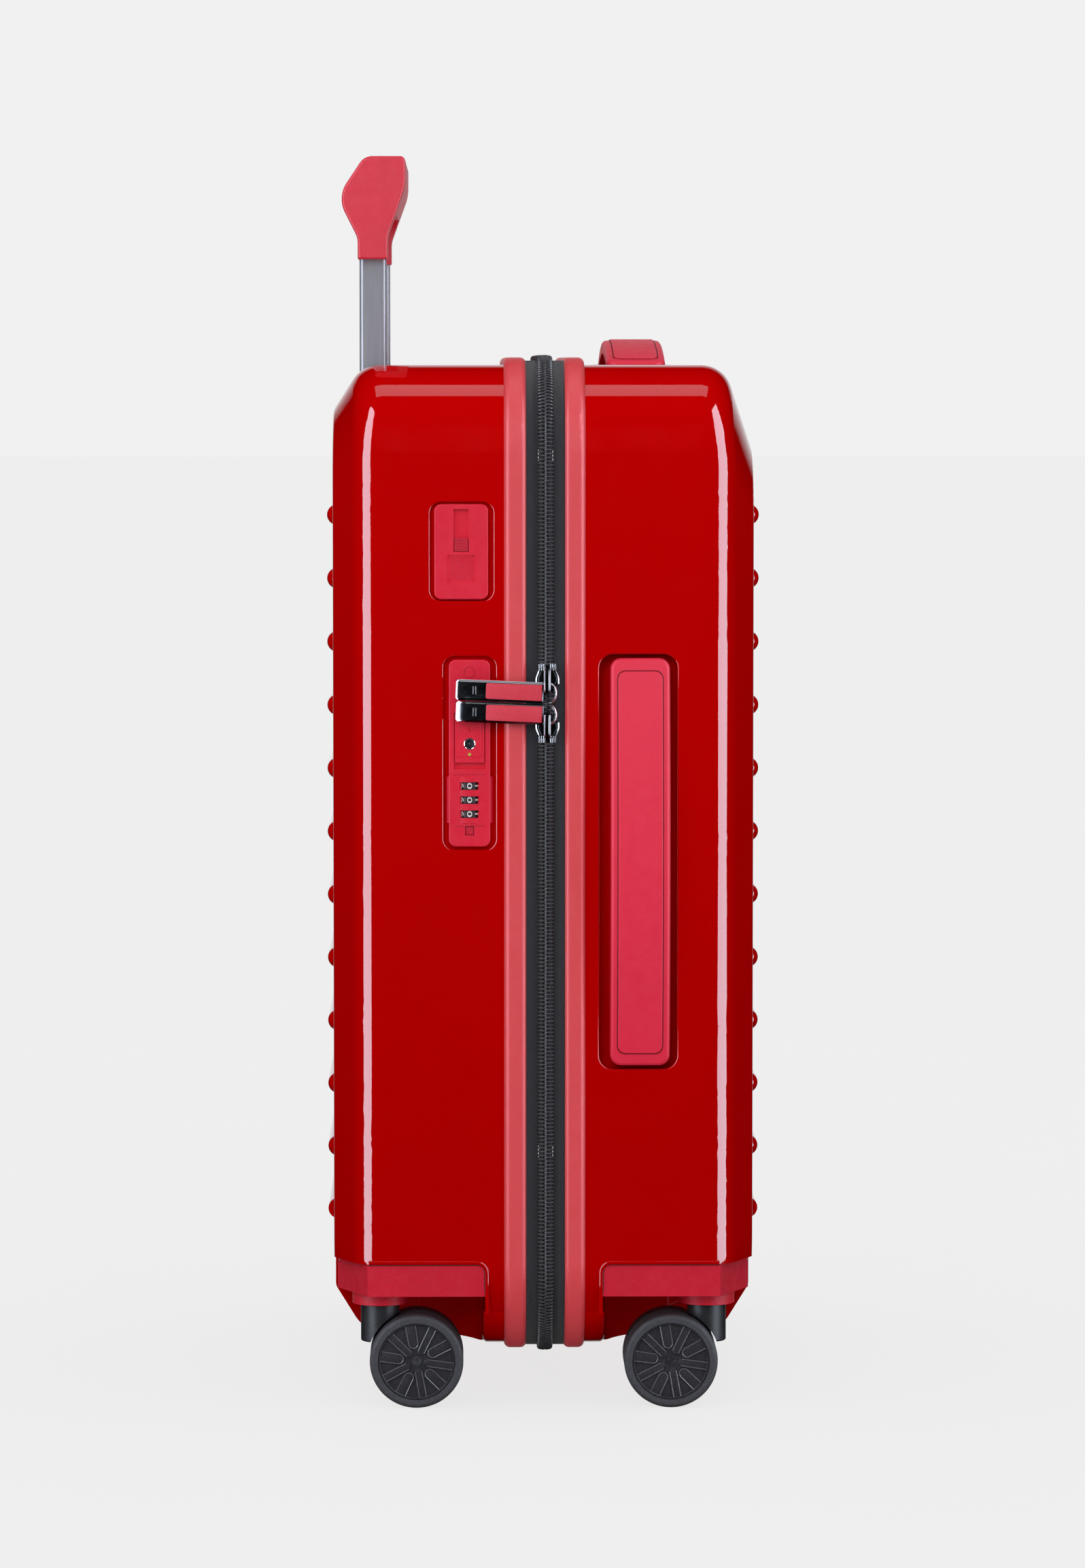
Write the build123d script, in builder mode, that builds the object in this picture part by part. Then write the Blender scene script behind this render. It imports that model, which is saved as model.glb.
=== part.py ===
from build123d import *
from math import cos, radians, sin
import os

os.makedirs("parts", exist_ok=True)

# A hard shell suitcase on four twin-wheel casters, in millimetres.
# X is the thickness: the trolley half is on -X and the lid on +X.
# Y is the width: the zip sliders, lock and side handle are on -Y, the fabric hinge on +Y.
# Z is up from the floor.  The origin is on the floor, under the middle of the case.

# ---- driving dimensions ----
CASE_WIDTH = 460
CASE_TOP = 667
CASE_BOTTOM = 37.5
FACE_X = 134.6  # the two main faces
BEND_X = 116  # where the side walls turn towards the main face
BACK_MOUTH_X = 10.9  # distance of the back shell's mouth from x = 0
FRONT_MOUTH_X = 12.7
WALL = 1.8
CORNER_R = 55
FACE_CORNER_R = 44
SIDE_SLOPE = 34
BOTTOM_SLOPE = 30
BACK_TOP_SLOPE = 29
FRONT_TOP_SLOPE = 54
BEND_R = 20
RECESS_EDGE_R = 1.2
FACE_EDGE_R = 7

NEAR = -CASE_WIDTH / 2
FAR = CASE_WIDTH / 2
MID_Z = (CASE_TOP + CASE_BOTTOM) / 2
CASE_HEIGHT = CASE_TOP - CASE_BOTTOM

RIB_COUNT = 12
RIB_PITCH = 40.7
FIRST_RIB_Z = 123.5
RIB_R = 6.8
RIB_X = 131.8
RIB_HALF_LENGTH = 178

POCKET_X = 37.5  # the wheel pockets reach from here out to the main face
POCKET_Y = 139.5
POCKET_ROUND = 60.5  # their inner corner, round about the caster's stem
POCKET_TOP = 93.7
POCKET_R = 5.5

RIM_PROUD = 4.8
RIM_EDGE_R = 4
ZIP_X = 0.95  # plane where the two rows of teeth meet
TAPE_LOW = 1.5  # tape and teeth heights are measured out from the side walls
TAPE_HIGH = 2.8
TOOTH_LOW = 0.6
TOOTH_HIGH = 6.6
TOOTH_WIDTH = 4.6
MESH_GAP = 0.1
TAPE_TUCK = 3.6  # how far a tape runs into its rim
ZIP_END_LOW = 104
ZIP_END_HIGH = 607
HINGE_Y = 238.5
HINGE_LOW = 112
HINGE_HIGH = 599

STEM_X = 105
STEM_Y = 200
TRAIL = 23.5
WHEEL_R = 30
WHEEL_WIDTH = 18
WHEEL_GAP = 4  # from the caster's middle to each wheel's inner face
HUB_R = 24.8
AXLE_R = 3
STEM_R = 4
RUNNING = 0.05  # radial clearance of everything that turns
BOSS_R = 12.4
FORK_TOP = 65.2
FORK_FOOT = 40.8
ARCH_GAP = 1.6
COLLAR_R = 17.8
COLLAR_BOTTOM = 65.5
BLOCK_BOTTOM = 73.1

TUBE_X = 109.6
TUBE_Y = 113
TUBE_WALL = 1.2
TUBE_GAP = 0.3
TUBE_R = 2.6
INNER_TUBE = (17.4, 14.4)
GRIP_BOTTOM = 735.3
GRIP_TOP = 801.8
GRIP_HALF = 130

LINER_GAP = 2.4
LINER = 1.2
BACK_LINER_FLOOR_X = 96.5

HANDLE_X = 61
HANDLE_WIDTH = 38
HANDLE_HALF = 129.8
HANDLE_RISE = 17
HANDLE_THICK = 9.5
ARCH_DROP = 14
PAD_HALF = 121.7
PAD_WIDTH = 28.2
PAD_RISE = 0.9
SIDE_HANDLE_Z = 351.5
RECESS_DEPTH = 14
LEG_INSET = 11
LEG_SIZE = (22, 7)
LEG_DEPTH = 28

# Recesses in the near wall: centre x, centre z, width, height, depth, corner radius
LOCK_RECESS = (-47.3, 421, 33, 123.2, 4.2, 7)
TAG_RECESS = (-52.3, 549.1, 39.9, 62.6, 4.2, 7)
SIDE_HANDLE_RECESS = (59.9, SIDE_HANDLE_Z, 49.4, 264.9, RECESS_DEPTH, 9)
LOCK_COVER = (-47.3, 421, 33, 123.2, 20, 7)
HANDLE_COVER = (59.9, SIDE_HANDLE_Z, 49.4, 264.9, 31, 9)


# ---- the two shells ----
def wall_outline(inset):
    """Rounded outline of the side walls, seen along X."""
    with BuildSketch() as outline:
        RectangleRounded(CASE_WIDTH - 2 * inset, CASE_HEIGHT - 2 * inset, CORNER_R - inset)
    return outline.sketch


def half_form(mouth, top_slope, inset=0.0):
    """Closed solid of one half on +X: straight walls, then a tapered ring up to the main face."""
    face_width = CASE_WIDTH - 2 * SIDE_SLOPE - 2 * inset
    face_height = CASE_HEIGHT - top_slope - BOTTOM_SLOPE - 2 * inset
    face_z = MID_Z + (BOTTOM_SLOPE - top_slope) / 2
    with BuildPart() as form:
        with BuildSketch(Plane.YZ.offset(mouth)):
            with Locations((0, MID_Z)):
                add(wall_outline(inset))
        extrude(amount=BEND_X - mouth)
        with BuildSketch(Plane.YZ.offset(BEND_X)):
            with Locations((0, MID_Z)):
                add(wall_outline(inset))
        with BuildSketch(Plane.YZ.offset(FACE_X - inset)):
            with Locations((0, face_z)):
                RectangleRounded(face_width, face_height, FACE_CORNER_R - inset)
        loft(ruled=True)
        fillet(form.edges().filter_by_position(Axis.X, BEND_X - 0.01, BEND_X + 0.01), BEND_R)
        fillet(form.edges().group_by(Axis.X)[-1], FACE_EDGE_R)
    return form.part


def ribs():
    """The cross ribs pressed into a main face, on +X."""
    heights = [FIRST_RIB_Z + i * RIB_PITCH for i in range(RIB_COUNT)]
    with BuildPart() as bars:
        with Locations(*[(RIB_X, 0, z) for z in heights]):
            Cylinder(RIB_R, 2 * RIB_HALF_LENGTH, rotation=(90, 0, 0))
        with Locations(*[(RIB_X, y, z) for z in heights for y in (-RIB_HALF_LENGTH, RIB_HALF_LENGTH)]):
            Sphere(RIB_R)
    return bars.part


def wheel_pockets(inset=0.0):
    """The two corner pockets over the casters of one half, on +X, grown by inset."""
    start = (POCKET_X - inset, POCKET_Y - inset)
    reach = (FACE_X + 30, FAR + 30)
    with BuildPart() as pockets:
        with BuildSketch(Plane.XY.offset(CASE_BOTTOM - 20)) as section:
            with Locations(((start[0] + reach[0]) / 2, (start[1] + reach[1]) / 2)):
                Rectangle(reach[0] - start[0], reach[1] - start[1])
            inner = section.vertices().sort_by_distance((*start, CASE_BOTTOM - 20))[0]
            fillet(inner, POCKET_ROUND + inset)
        extrude(amount=POCKET_TOP + inset - CASE_BOTTOM + 20)
        fillet(pockets.faces().sort_by(Axis.Z)[-1].edges(), POCKET_R + inset)
        mirror(about=Plane.XZ)
    return pockets.part


def near_recess(spec, inset=0.0):
    """A rounded recess pressed into the near wall, grown by inset."""
    x, z, width, height, depth, radius = spec
    with BuildPart() as hollow:
        with BuildSketch(Plane.XZ.offset(-NEAR - depth - inset)):
            with Locations((x, z)):
                RectangleRounded(width + 2 * inset, height + 2 * inset, radius + inset)
        extrude(amount=depth + inset + 20)
    return hollow.part


def top_recess(depth, inset=0.0):
    """The top handle's recess in the lid, with the side recess's outline."""
    x, _, width, length, _, radius = SIDE_HANDLE_RECESS
    with BuildPart() as hollow:
        with BuildSketch(Plane.XY.offset(CASE_TOP - depth - inset)):
            with Locations((x, 0)):
                RectangleRounded(width + 2 * inset, length + 2 * inset, radius + inset)
        extrude(amount=depth + inset + 20)
    return hollow.part


def back_block(inset, recesses):
    """The trolley half's form on -X, less its pockets and recesses, all moved in by inset."""
    with BuildPart() as block:
        add(half_form(BACK_MOUTH_X, BACK_TOP_SLOPE, inset))
        add(wheel_pockets(inset), mode=Mode.SUBTRACT)
        mirror(about=Plane.YZ, mode=Mode.REPLACE)
        for spec in recesses:
            add(near_recess(spec, inset), mode=Mode.SUBTRACT)
    return block.part


def front_block(inset, side_recess, top_depth):
    """The lid half's form, less its pockets and recesses, all moved in by inset."""
    with BuildPart() as block:
        add(half_form(FRONT_MOUTH_X, FRONT_TOP_SLOPE, inset))
        add(wheel_pockets(inset), mode=Mode.SUBTRACT)
        add(near_recess(side_recess, inset), mode=Mode.SUBTRACT)
        add(top_recess(top_depth, inset), mode=Mode.SUBTRACT)
    return block.part


def tube_sizes(stage):
    """Outer size of a trolley tube: stage 0 is the innermost."""
    step = 2 * stage * (TUBE_WALL + TUBE_GAP)
    return INNER_TUBE[0] + step, INNER_TUBE[1] + step


BEZEL_SIZE = (26, 23)
SCREW_R = 2
SCREW_HEAD_R = 3.6
SCREW_SPOTS = [(56, 214), (80, 160), (120, 158)]


def screw_points(side):
    """Where the wheel-block screws stand in one half: side is -1 for the back and 1 for the lid."""
    return [(side * x, sign * y) for x, y in SCREW_SPOTS for sign in (-1, 1)]


def leg_planes():
    """One plane for each carry handle: x along the handle, y out of the case."""
    side = Plane(origin=(HANDLE_X, NEAR, SIDE_HANDLE_Z), x_dir=(0, 0, 1), z_dir=(1, 0, 0))
    top = Plane(origin=(HANDLE_X, 0, CASE_TOP), x_dir=(0, 1, 0), z_dir=(1, 0, 0))
    return {"side_handle": side, "top_handle": top}


def leg_blocks(width, thickness, low, high):
    """Blocks round both legs of both carry handles, from low to high out of the wall."""
    spot = HANDLE_HALF - LEG_INSET
    with BuildPart() as blocks:
        for plane in leg_planes().values():
            with BuildSketch(plane):
                with Locations((-spot, (low + high) / 2), (spot, (low + high) / 2)):
                    Rectangle(thickness, high - low)
            extrude(amount=width / 2, both=True)
    return blocks.part


def recess_edges(shell, spec):
    """The edges of one near recess where it meets the wall."""
    x, z, width, height, _, _ = spec
    edges = shell.edges().filter_by_position(Axis.Y, NEAR - 0.01, NEAR + 0.01)
    edges = edges.filter_by_position(Axis.X, x - width / 2 - 1, x + width / 2 + 1)
    return edges.filter_by_position(Axis.Z, z - height / 2 - 1, z + height / 2 + 1)


with BuildPart() as back_shell:
    add(back_block(0, [LOCK_RECESS, TAG_RECESS]))
    for spec in (LOCK_RECESS, TAG_RECESS):
        fillet(recess_edges(back_shell, spec), RECESS_EDGE_R)
    add(mirror(ribs(), about=Plane.YZ))
    add(back_block(WALL, [LOCK_RECESS, TAG_RECESS]), mode=Mode.SUBTRACT)
    with BuildSketch(Plane.XY.offset(CASE_TOP - 40)):
        with Locations((-TUBE_X, -TUBE_Y), (-TUBE_X, TUBE_Y)):
            Rectangle(*BEZEL_SIZE)
    extrude(amount=60, mode=Mode.SUBTRACT)
    with Locations((-47.3, NEAR, 421)):
        Box(21.4, 30, 113.4, mode=Mode.SUBTRACT)
    with Locations(*[(x, y, POCKET_TOP) for x, y in screw_points(-1)]):
        Cylinder(SCREW_R + 0.1, 20, mode=Mode.SUBTRACT)
back_shell.part.label = "back_shell"
export_step(back_shell.part, "parts/back_shell.step")

with BuildPart() as front_shell:
    add(front_block(0, SIDE_HANDLE_RECESS, RECESS_DEPTH))
    fillet(recess_edges(front_shell, SIDE_HANDLE_RECESS), RECESS_EDGE_R)
    add(ribs())
    add(front_block(WALL, SIDE_HANDLE_RECESS, RECESS_DEPTH), mode=Mode.SUBTRACT)
    add(leg_blocks(LEG_SIZE[0] + 1, LEG_SIZE[1] + 1, -40, 0), mode=Mode.SUBTRACT)
    with Locations(*[(x, y, POCKET_TOP) for x, y in screw_points(1)]):
        Cylinder(SCREW_R + 0.1, 20, mode=Mode.SUBTRACT)
front_shell.part.label = "front_shell"
export_step(front_shell.part, "parts/front_shell.step")


# ---- linings ----
with BuildPart() as back_lining:
    add(back_block(WALL + LINER_GAP, [LOCK_COVER, TAG_RECESS]))
    add(back_block(WALL + LINER_GAP + LINER, [LOCK_COVER, TAG_RECESS]), mode=Mode.SUBTRACT)
    with Locations((-BACK_LINER_FLOOR_X - 50, 0, MID_Z)):
        Box(100, 2 * CASE_WIDTH, 2 * CASE_HEIGHT, mode=Mode.SUBTRACT)
    with BuildSketch(Plane.YZ.offset(-BACK_LINER_FLOOR_X)):
        with Locations((0, MID_Z)):
            add(wall_outline(WALL + LINER_GAP))
    extrude(amount=LINER)
    add(mirror(wheel_pockets(WALL + LINER_GAP), about=Plane.YZ), mode=Mode.SUBTRACT)
back_lining.part.label = "back_lining"
export_step(back_lining.part, "parts/back_lining.step")

with BuildPart() as front_lining:
    add(front_block(WALL + LINER_GAP, HANDLE_COVER, HANDLE_COVER[4]))
    add(front_block(WALL + LINER_GAP + LINER, HANDLE_COVER, HANDLE_COVER[4]), mode=Mode.SUBTRACT)
front_lining.part.label = "front_lining"
export_step(front_lining.part, "parts/front_lining.step")

STRAP_WIDTH = 30
STRAP_THICK = 1.6
STRAP_X = -BACK_LINER_FLOOR_X + LINER
STRAP_REACH = (180, 175)

with BuildPart() as packing_straps:
    with BuildSketch(Plane.YZ.offset(STRAP_X)):
        for slant in (-1, 1):
            with BuildLine():
                end = (STRAP_REACH[0], slant * STRAP_REACH[1])
                Line((-end[0], MID_Z - end[1]), (end[0], MID_Z + end[1]))
            trace(line_width=STRAP_WIDTH)
    extrude(amount=STRAP_THICK)
packing_straps.part.label = "packing_straps"
export_step(packing_straps.part, "parts/packing_straps.step")

with BuildPart() as strap_buckle:
    with BuildSketch(Plane.YZ.offset(STRAP_X + STRAP_THICK)):
        with Locations((0, MID_Z)):
            RectangleRounded(44, 52, 8)
    extrude(amount=5)
    fillet(strap_buckle.edges().group_by(Axis.X)[-1], 1.6)
strap_buckle.part.label = "strap_buckle"
export_step(strap_buckle.part, "parts/strap_buckle.step")

DIVIDER_X = 15.2

with BuildPart() as divider_panel:
    with BuildSketch(Plane.YZ.offset(DIVIDER_X)):
        with Locations((0, MID_Z)):
            inside = WALL + LINER_GAP + LINER + 0.4
            RectangleRounded(CASE_WIDTH - 2 * inside, CASE_HEIGHT - 2 * inside, CORNER_R - inside)
    extrude(amount=2)
divider_panel.part.label = "divider_panel"
export_step(divider_panel.part, "parts/divider_panel.step")


# ---- rims, zip and fabric hinge ----
def band(start, stop, low, high):
    """A band round the side walls from x = start to x = stop, between two heights out of the wall."""
    with BuildPart() as loop:
        with BuildSketch(Plane.YZ.offset(start)):
            with Locations((0, MID_Z)):
                add(wall_outline(-high))
                add(wall_outline(-low), mode=Mode.SUBTRACT)
        extrude(amount=stop - start)
    return loop.part


def zip_gap():
    """The stretch of the far side where the hinge stands in place of the zip."""
    with BuildPart() as gap:
        with Locations((0, FAR, (ZIP_END_LOW + ZIP_END_HIGH) / 2)):
            Box(60, 40, ZIP_END_HIGH - ZIP_END_LOW)
    return gap.part


def rim(start, stop, groove_start, groove_stop):
    """A moulded strip round a shell's mouth, grooved for its zip tape."""
    with BuildPart() as strip:
        add(band(start, stop, 0, RIM_PROUD))
        outer = strip.faces().filter_by(Axis.X)
        outside = [face.outer_wire().edges() for face in outer]
        fillet([edge for group in outside for edge in group], RIM_EDGE_R)
        add(band(groove_start, groove_stop, TAPE_LOW, TAPE_HIGH), mode=Mode.SUBTRACT)
    return strip.part


BACK_RIM = (-25.4, -BACK_MOUTH_X)
FRONT_RIM = (FRONT_MOUTH_X, 26.3)

with BuildPart() as back_rim:
    add(rim(*BACK_RIM, BACK_RIM[1] - TAPE_TUCK, BACK_RIM[1]))
back_rim.part.label = "back_rim"
export_step(back_rim.part, "parts/back_rim.step")

with BuildPart() as front_rim:
    add(rim(*FRONT_RIM, FRONT_RIM[0], FRONT_RIM[0] + TAPE_TUCK))
front_rim.part.label = "front_rim"
export_step(front_rim.part, "parts/front_rim.step")

TOOTH_BACK_X = ZIP_X - MESH_GAP - TOOTH_WIDTH
TOOTH_FRONT_X = ZIP_X + MESH_GAP + TOOTH_WIDTH

with BuildPart() as zip_tape_back:
    add(band(BACK_RIM[1] - TAPE_TUCK, TOOTH_BACK_X, TAPE_LOW, TAPE_HIGH))
    add(zip_gap(), mode=Mode.SUBTRACT)
zip_tape_back.part.label = "zip_tape_back"
export_step(zip_tape_back.part, "parts/zip_tape_back.step")

with BuildPart() as zip_tape_front:
    add(band(TOOTH_FRONT_X, FRONT_RIM[0] + TAPE_TUCK, TAPE_LOW, TAPE_HIGH))
    add(zip_gap(), mode=Mode.SUBTRACT)
zip_tape_front.part.label = "zip_tape_front"
export_step(zip_tape_front.part, "parts/zip_tape_front.step")

with BuildPart() as zip_teeth_back:
    add(band(TOOTH_BACK_X, TOOTH_BACK_X + TOOTH_WIDTH, TOOTH_LOW, TOOTH_HIGH))
    add(zip_gap(), mode=Mode.SUBTRACT)
zip_teeth_back.part.label = "zip_teeth_back"
export_step(zip_teeth_back.part, "parts/zip_teeth_back.step")

with BuildPart() as zip_teeth_front:
    add(band(TOOTH_FRONT_X - TOOTH_WIDTH, TOOTH_FRONT_X, TOOTH_LOW, TOOTH_HIGH))
    add(zip_gap(), mode=Mode.SUBTRACT)
zip_teeth_front.part.label = "zip_teeth_front"
export_step(zip_teeth_front.part, "parts/zip_teeth_front.step")


def hinge_tape(tuck_x, rim_x, end_x):
    """Half of the fabric hinge: tucked into a rim and bulging out to the hinge line."""
    thick = TAPE_HIGH - TAPE_LOW
    with BuildPart() as tape:
        with BuildSketch(Plane.XY.offset(HINGE_LOW)):
            with BuildLine():
                Polyline(
                    (tuck_x, FAR + TAPE_LOW),
                    (rim_x, FAR + TAPE_LOW),
                    (end_x, HINGE_Y - 0.1 - thick),
                    (end_x, HINGE_Y - 0.1),
                    (rim_x, FAR + TAPE_HIGH),
                    (tuck_x, FAR + TAPE_HIGH),
                    close=True,
                )
            make_face()
        extrude(amount=HINGE_HIGH - HINGE_LOW)
    return tape.part


with BuildPart() as hinge_tape_back:
    add(hinge_tape(BACK_RIM[1] - TAPE_TUCK, BACK_RIM[1], ZIP_X - 0.15))
hinge_tape_back.part.label = "hinge_tape_back"
export_step(hinge_tape_back.part, "parts/hinge_tape_back.step")

with BuildPart() as hinge_tape_front:
    add(hinge_tape(FRONT_RIM[0] + TAPE_TUCK, FRONT_RIM[0], ZIP_X + 0.15))
hinge_tape_front.part.label = "hinge_tape_front"
export_step(hinge_tape_front.part, "parts/hinge_tape_front.step")


# ---- zip sliders and pull tabs ----
SLIDER_X = 2.05
SLIDER_BASE_Y = NEAR - 6.9
SLIDER_THICK = 1.8
PIVOT_X = 5.4
PIVOT_Y = NEAR - 10.9
PIVOT_R = 1
LUG_R = 2.1
LUG_HEIGHT = 7.6
TAB_REACH = 61.4  # from the pivot to the tab's free end
TAB_HEIGHT = 13
TAB_THICK = 2.6
TAB_END_R = 1.4
TAB_TILT = 2.3
RING_HOLE = (8.5, 8.4)
SLIDERS = {"upper": (459.6, 1, 468.2), "lower": (445.9, -1, 438.3)}  # tab height, way up, body height

for name, (tab_z, way, body_z) in SLIDERS.items():
    with BuildPart() as zip_slider:
        with BuildSketch(Plane.XZ.offset(-SLIDER_BASE_Y)):
            with Locations((SLIDER_X, body_z)):
                Ellipse(7.4, 8.6)
            with Locations((SLIDER_X, body_z + way * 3.5)):
                Rectangle(11, 13.2)
            with Locations((PIVOT_X, tab_z)):
                Rectangle(2 * LUG_R, LUG_HEIGHT)
        extrude(amount=SLIDER_THICK)
        lug_foot = SLIDER_BASE_Y - SLIDER_THICK / 2
        with BuildSketch(Plane.XY.offset(tab_z)):
            with Locations((PIVOT_X, PIVOT_Y)):
                Circle(LUG_R)
            with Locations((PIVOT_X, (PIVOT_Y + lug_foot) / 2)):
                Rectangle(2 * LUG_R, lug_foot - PIVOT_Y)
        extrude(amount=LUG_HEIGHT / 2, both=True)
        with Locations((PIVOT_X, PIVOT_Y, tab_z)):
            Cylinder(PIVOT_R + RUNNING, 2 * LUG_HEIGHT, mode=Mode.SUBTRACT)
    zip_slider.part.label = "zip_slider_" + name
    export_step(zip_slider.part, "parts/zip_slider_" + name + ".step")

    tilted = (cos(radians(TAB_TILT)), 0, -sin(radians(TAB_TILT)))
    with BuildPart() as pull_tab:
        with BuildSketch(Plane(origin=(PIVOT_X, PIVOT_Y, tab_z), x_dir=tilted, z_dir=(0, -1, 0))):
            with Locations(((TAB_END_R - TAB_REACH) / 2, 0)):
                Rectangle(TAB_REACH + TAB_END_R, TAB_HEIGHT)
            with Locations((TAB_END_R - RING_HOLE[0] / 2, 0)):
                Rectangle(RING_HOLE[0], RING_HOLE[1], mode=Mode.SUBTRACT)
        extrude(amount=TAB_THICK / 2, both=True)
        fillet(pull_tab.edges().filter_by(Axis.Y).sort_by(Axis.X)[:2], 3)
        with Locations((PIVOT_X, PIVOT_Y, tab_z)):
            Cylinder(PIVOT_R, TAB_HEIGHT - 2)
    pull_tab.part.label = "pull_tab_" + name
    export_step(pull_tab.part, "parts/pull_tab_" + name + ".step")


# ---- combination lock ----
LOCK_X = -47.3
PLATE_FRONT = NEAR - 0.8
PLATE_BACK = NEAR + 4.2
LOCK_PLATE = (26.4, 118.9, 420.95)  # width, height, centre height
CASE_BACK = NEAR + 21
DIAL_Y = NEAR + 8.6
DIAL_R = 8.6
DIAL_HEIGHT = 7.8
DIAL_PITCH = 8.95
TOP_DIAL_Z = 400.2
SPINDLE_R = 1.6
WINDOW = (12.2, 4.9)
RELEASE_RECESS = (20, 35.8, 428.8)
RELEASE = (18.7, 31, 430.6)
RELEASE_THICK = 2.6
RELEASE_PANEL = (15.2, 24.5, 431.1)
RELEASE_LIP = 3
KEY_Z = 427
KEY_R = 3.6
KEY_LENGTH = 8
BULGE_R = 25
BULGE = (NEAR - 1.5, 376.5, 406)  # front, bottom and top of the cover that bulges over the dials
RELEASE_TRAVEL = 3.8
TONGUE = (4.5, 6, 444)
RESET_Z = 371.65
RESET_SIZE = 4.9
dial_heights = [TOP_DIAL_Z - i * DIAL_PITCH for i in range(3)]


def lock_cavities():
    """Hollows shared by the lock plate and the lock case behind it."""
    with BuildPart() as hollows:
        with Locations(*[(LOCK_X, DIAL_Y, z) for z in dial_heights]):
            Cylinder(DIAL_R + 0.3, DIAL_HEIGHT + 0.5)
        with BuildSketch(Plane.XZ.offset(-PLATE_FRONT)):
            with Locations((LOCK_X, KEY_Z - RELEASE_TRAVEL / 2)):
                SlotCenterToCenter(RELEASE_TRAVEL + 1, 2 * KEY_R + 0.8, rotation=90)
            with Locations((LOCK_X, TONGUE[2] - RELEASE_TRAVEL / 2)):
                Rectangle(TONGUE[0] + 0.8, TONGUE[1] + RELEASE_TRAVEL + 1)
            with Locations((LOCK_X, RESET_Z)):
                Rectangle(RESET_SIZE + 0.7, RESET_SIZE + 0.7)
        extrude(amount=-10)
    return hollows.part


with BuildPart() as lock_plate:
    with BuildSketch(Plane.XZ.offset(-PLATE_BACK)):
        with Locations((LOCK_X, LOCK_PLATE[2])):
            RectangleRounded(LOCK_PLATE[0], LOCK_PLATE[1], 4.6)
    extrude(amount=PLATE_BACK - PLATE_FRONT)
    fillet(lock_plate.edges().group_by(Axis.Y)[0], 0.8)
    with BuildSketch(Plane.XZ.offset(-PLATE_FRONT)):
        with Locations((LOCK_X, RELEASE_RECESS[2])):
            Rectangle(RELEASE_RECESS[0], RELEASE_RECESS[1])
    extrude(amount=-RELEASE_THICK - 0.4, mode=Mode.SUBTRACT)
    with BuildSketch(Plane.XY.offset(BULGE[1])):
        with Locations((LOCK_X, BULGE[0] + BULGE_R)):
            Circle(BULGE_R)
        with Locations((LOCK_X, PLATE_BACK - 1 + BULGE_R)):
            Rectangle(4 * BULGE_R, 2 * BULGE_R, mode=Mode.SUBTRACT)
    extrude(amount=BULGE[2] - BULGE[1])
    with BuildSketch(Plane.XZ.offset(-BULGE[0])):
        with Locations(*[(LOCK_X, z) for z in dial_heights]):
            Rectangle(*WINDOW)
    extrude(amount=-3, mode=Mode.SUBTRACT)
    add(lock_cavities(), mode=Mode.SUBTRACT)
lock_plate.part.label = "lock_plate"
export_step(lock_plate.part, "parts/lock_plate.step")

with BuildPart() as lock_case:
    with BuildSketch(Plane.XZ.offset(-PLATE_BACK)):
        with Locations((LOCK_X, LOCK_PLATE[2])):
            Rectangle(20.6, 112)
    extrude(amount=PLATE_BACK - CASE_BACK + 3)
    add(lock_cavities(), mode=Mode.SUBTRACT)
    with Locations((LOCK_X, DIAL_Y, dial_heights[1])):
        Cylinder(SPINDLE_R, 3 * DIAL_PITCH + 2)
lock_case.part.label = "lock_case"
export_step(lock_case.part, "parts/lock_case.step")

for number, height in enumerate(dial_heights, 1):
    with BuildPart() as dial:
        with Locations((LOCK_X, DIAL_Y, height)):
            Cylinder(DIAL_R, DIAL_HEIGHT)
            chamfer(dial.edges().filter_by(GeomType.CIRCLE), 0.5)
            Cylinder(SPINDLE_R + RUNNING, 2 * DIAL_HEIGHT, mode=Mode.SUBTRACT)
    dial.part.label = f"number_dial_{number}"
    export_step(dial.part, f"parts/number_dial_{number}.step")

with BuildPart() as lock_release:
    with BuildSketch(Plane.XZ.offset(-PLATE_FRONT - RELEASE_THICK)):
        with Locations((LOCK_X, RELEASE[2])):
            Rectangle(RELEASE[0], RELEASE[1])
    extrude(amount=RELEASE_THICK)
    with BuildSketch(Plane.XZ.offset(-PLATE_FRONT)):
        with Locations((LOCK_X, TONGUE[2])):
            Rectangle(TONGUE[0], TONGUE[1])
    extrude(amount=-8)
    with BuildSketch(Plane.XZ.offset(-PLATE_FRONT)):
        with Locations((LOCK_X, RELEASE_PANEL[2])):
            Rectangle(RELEASE_PANEL[0], RELEASE_PANEL[1])
        with Locations((LOCK_X, RELEASE[2] - (RELEASE[1] - RELEASE_LIP) / 2)):
            Rectangle(RELEASE[0], RELEASE_LIP)
    extrude(amount=0.5)
    with Locations((LOCK_X, PLATE_FRONT, KEY_Z)):
        Cylinder(KEY_R + RUNNING, 20, rotation=(90, 0, 0), mode=Mode.SUBTRACT)
lock_release.part.label = "lock_release"
export_step(lock_release.part, "parts/lock_release.step")

KEYWAY_R = 2.7
KEYWAY_DEPTH = 5

with BuildPart() as key_cylinder:
    with BuildSketch(Plane.XZ.offset(-PLATE_FRONT)):
        with Locations((LOCK_X, KEY_Z)):
            Circle(KEY_R)
    extrude(amount=-KEY_LENGTH)
    fillet(key_cylinder.edges().sort_by(Axis.Y)[0], 0.3)
    with BuildSketch(Plane.XZ.offset(-PLATE_FRONT)):
        with Locations((LOCK_X, KEY_Z)):
            Circle(KEYWAY_R)
    extrude(amount=-KEYWAY_DEPTH, mode=Mode.SUBTRACT)
key_cylinder.part.label = "key_cylinder"
export_step(key_cylinder.part, "parts/key_cylinder.step")

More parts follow.
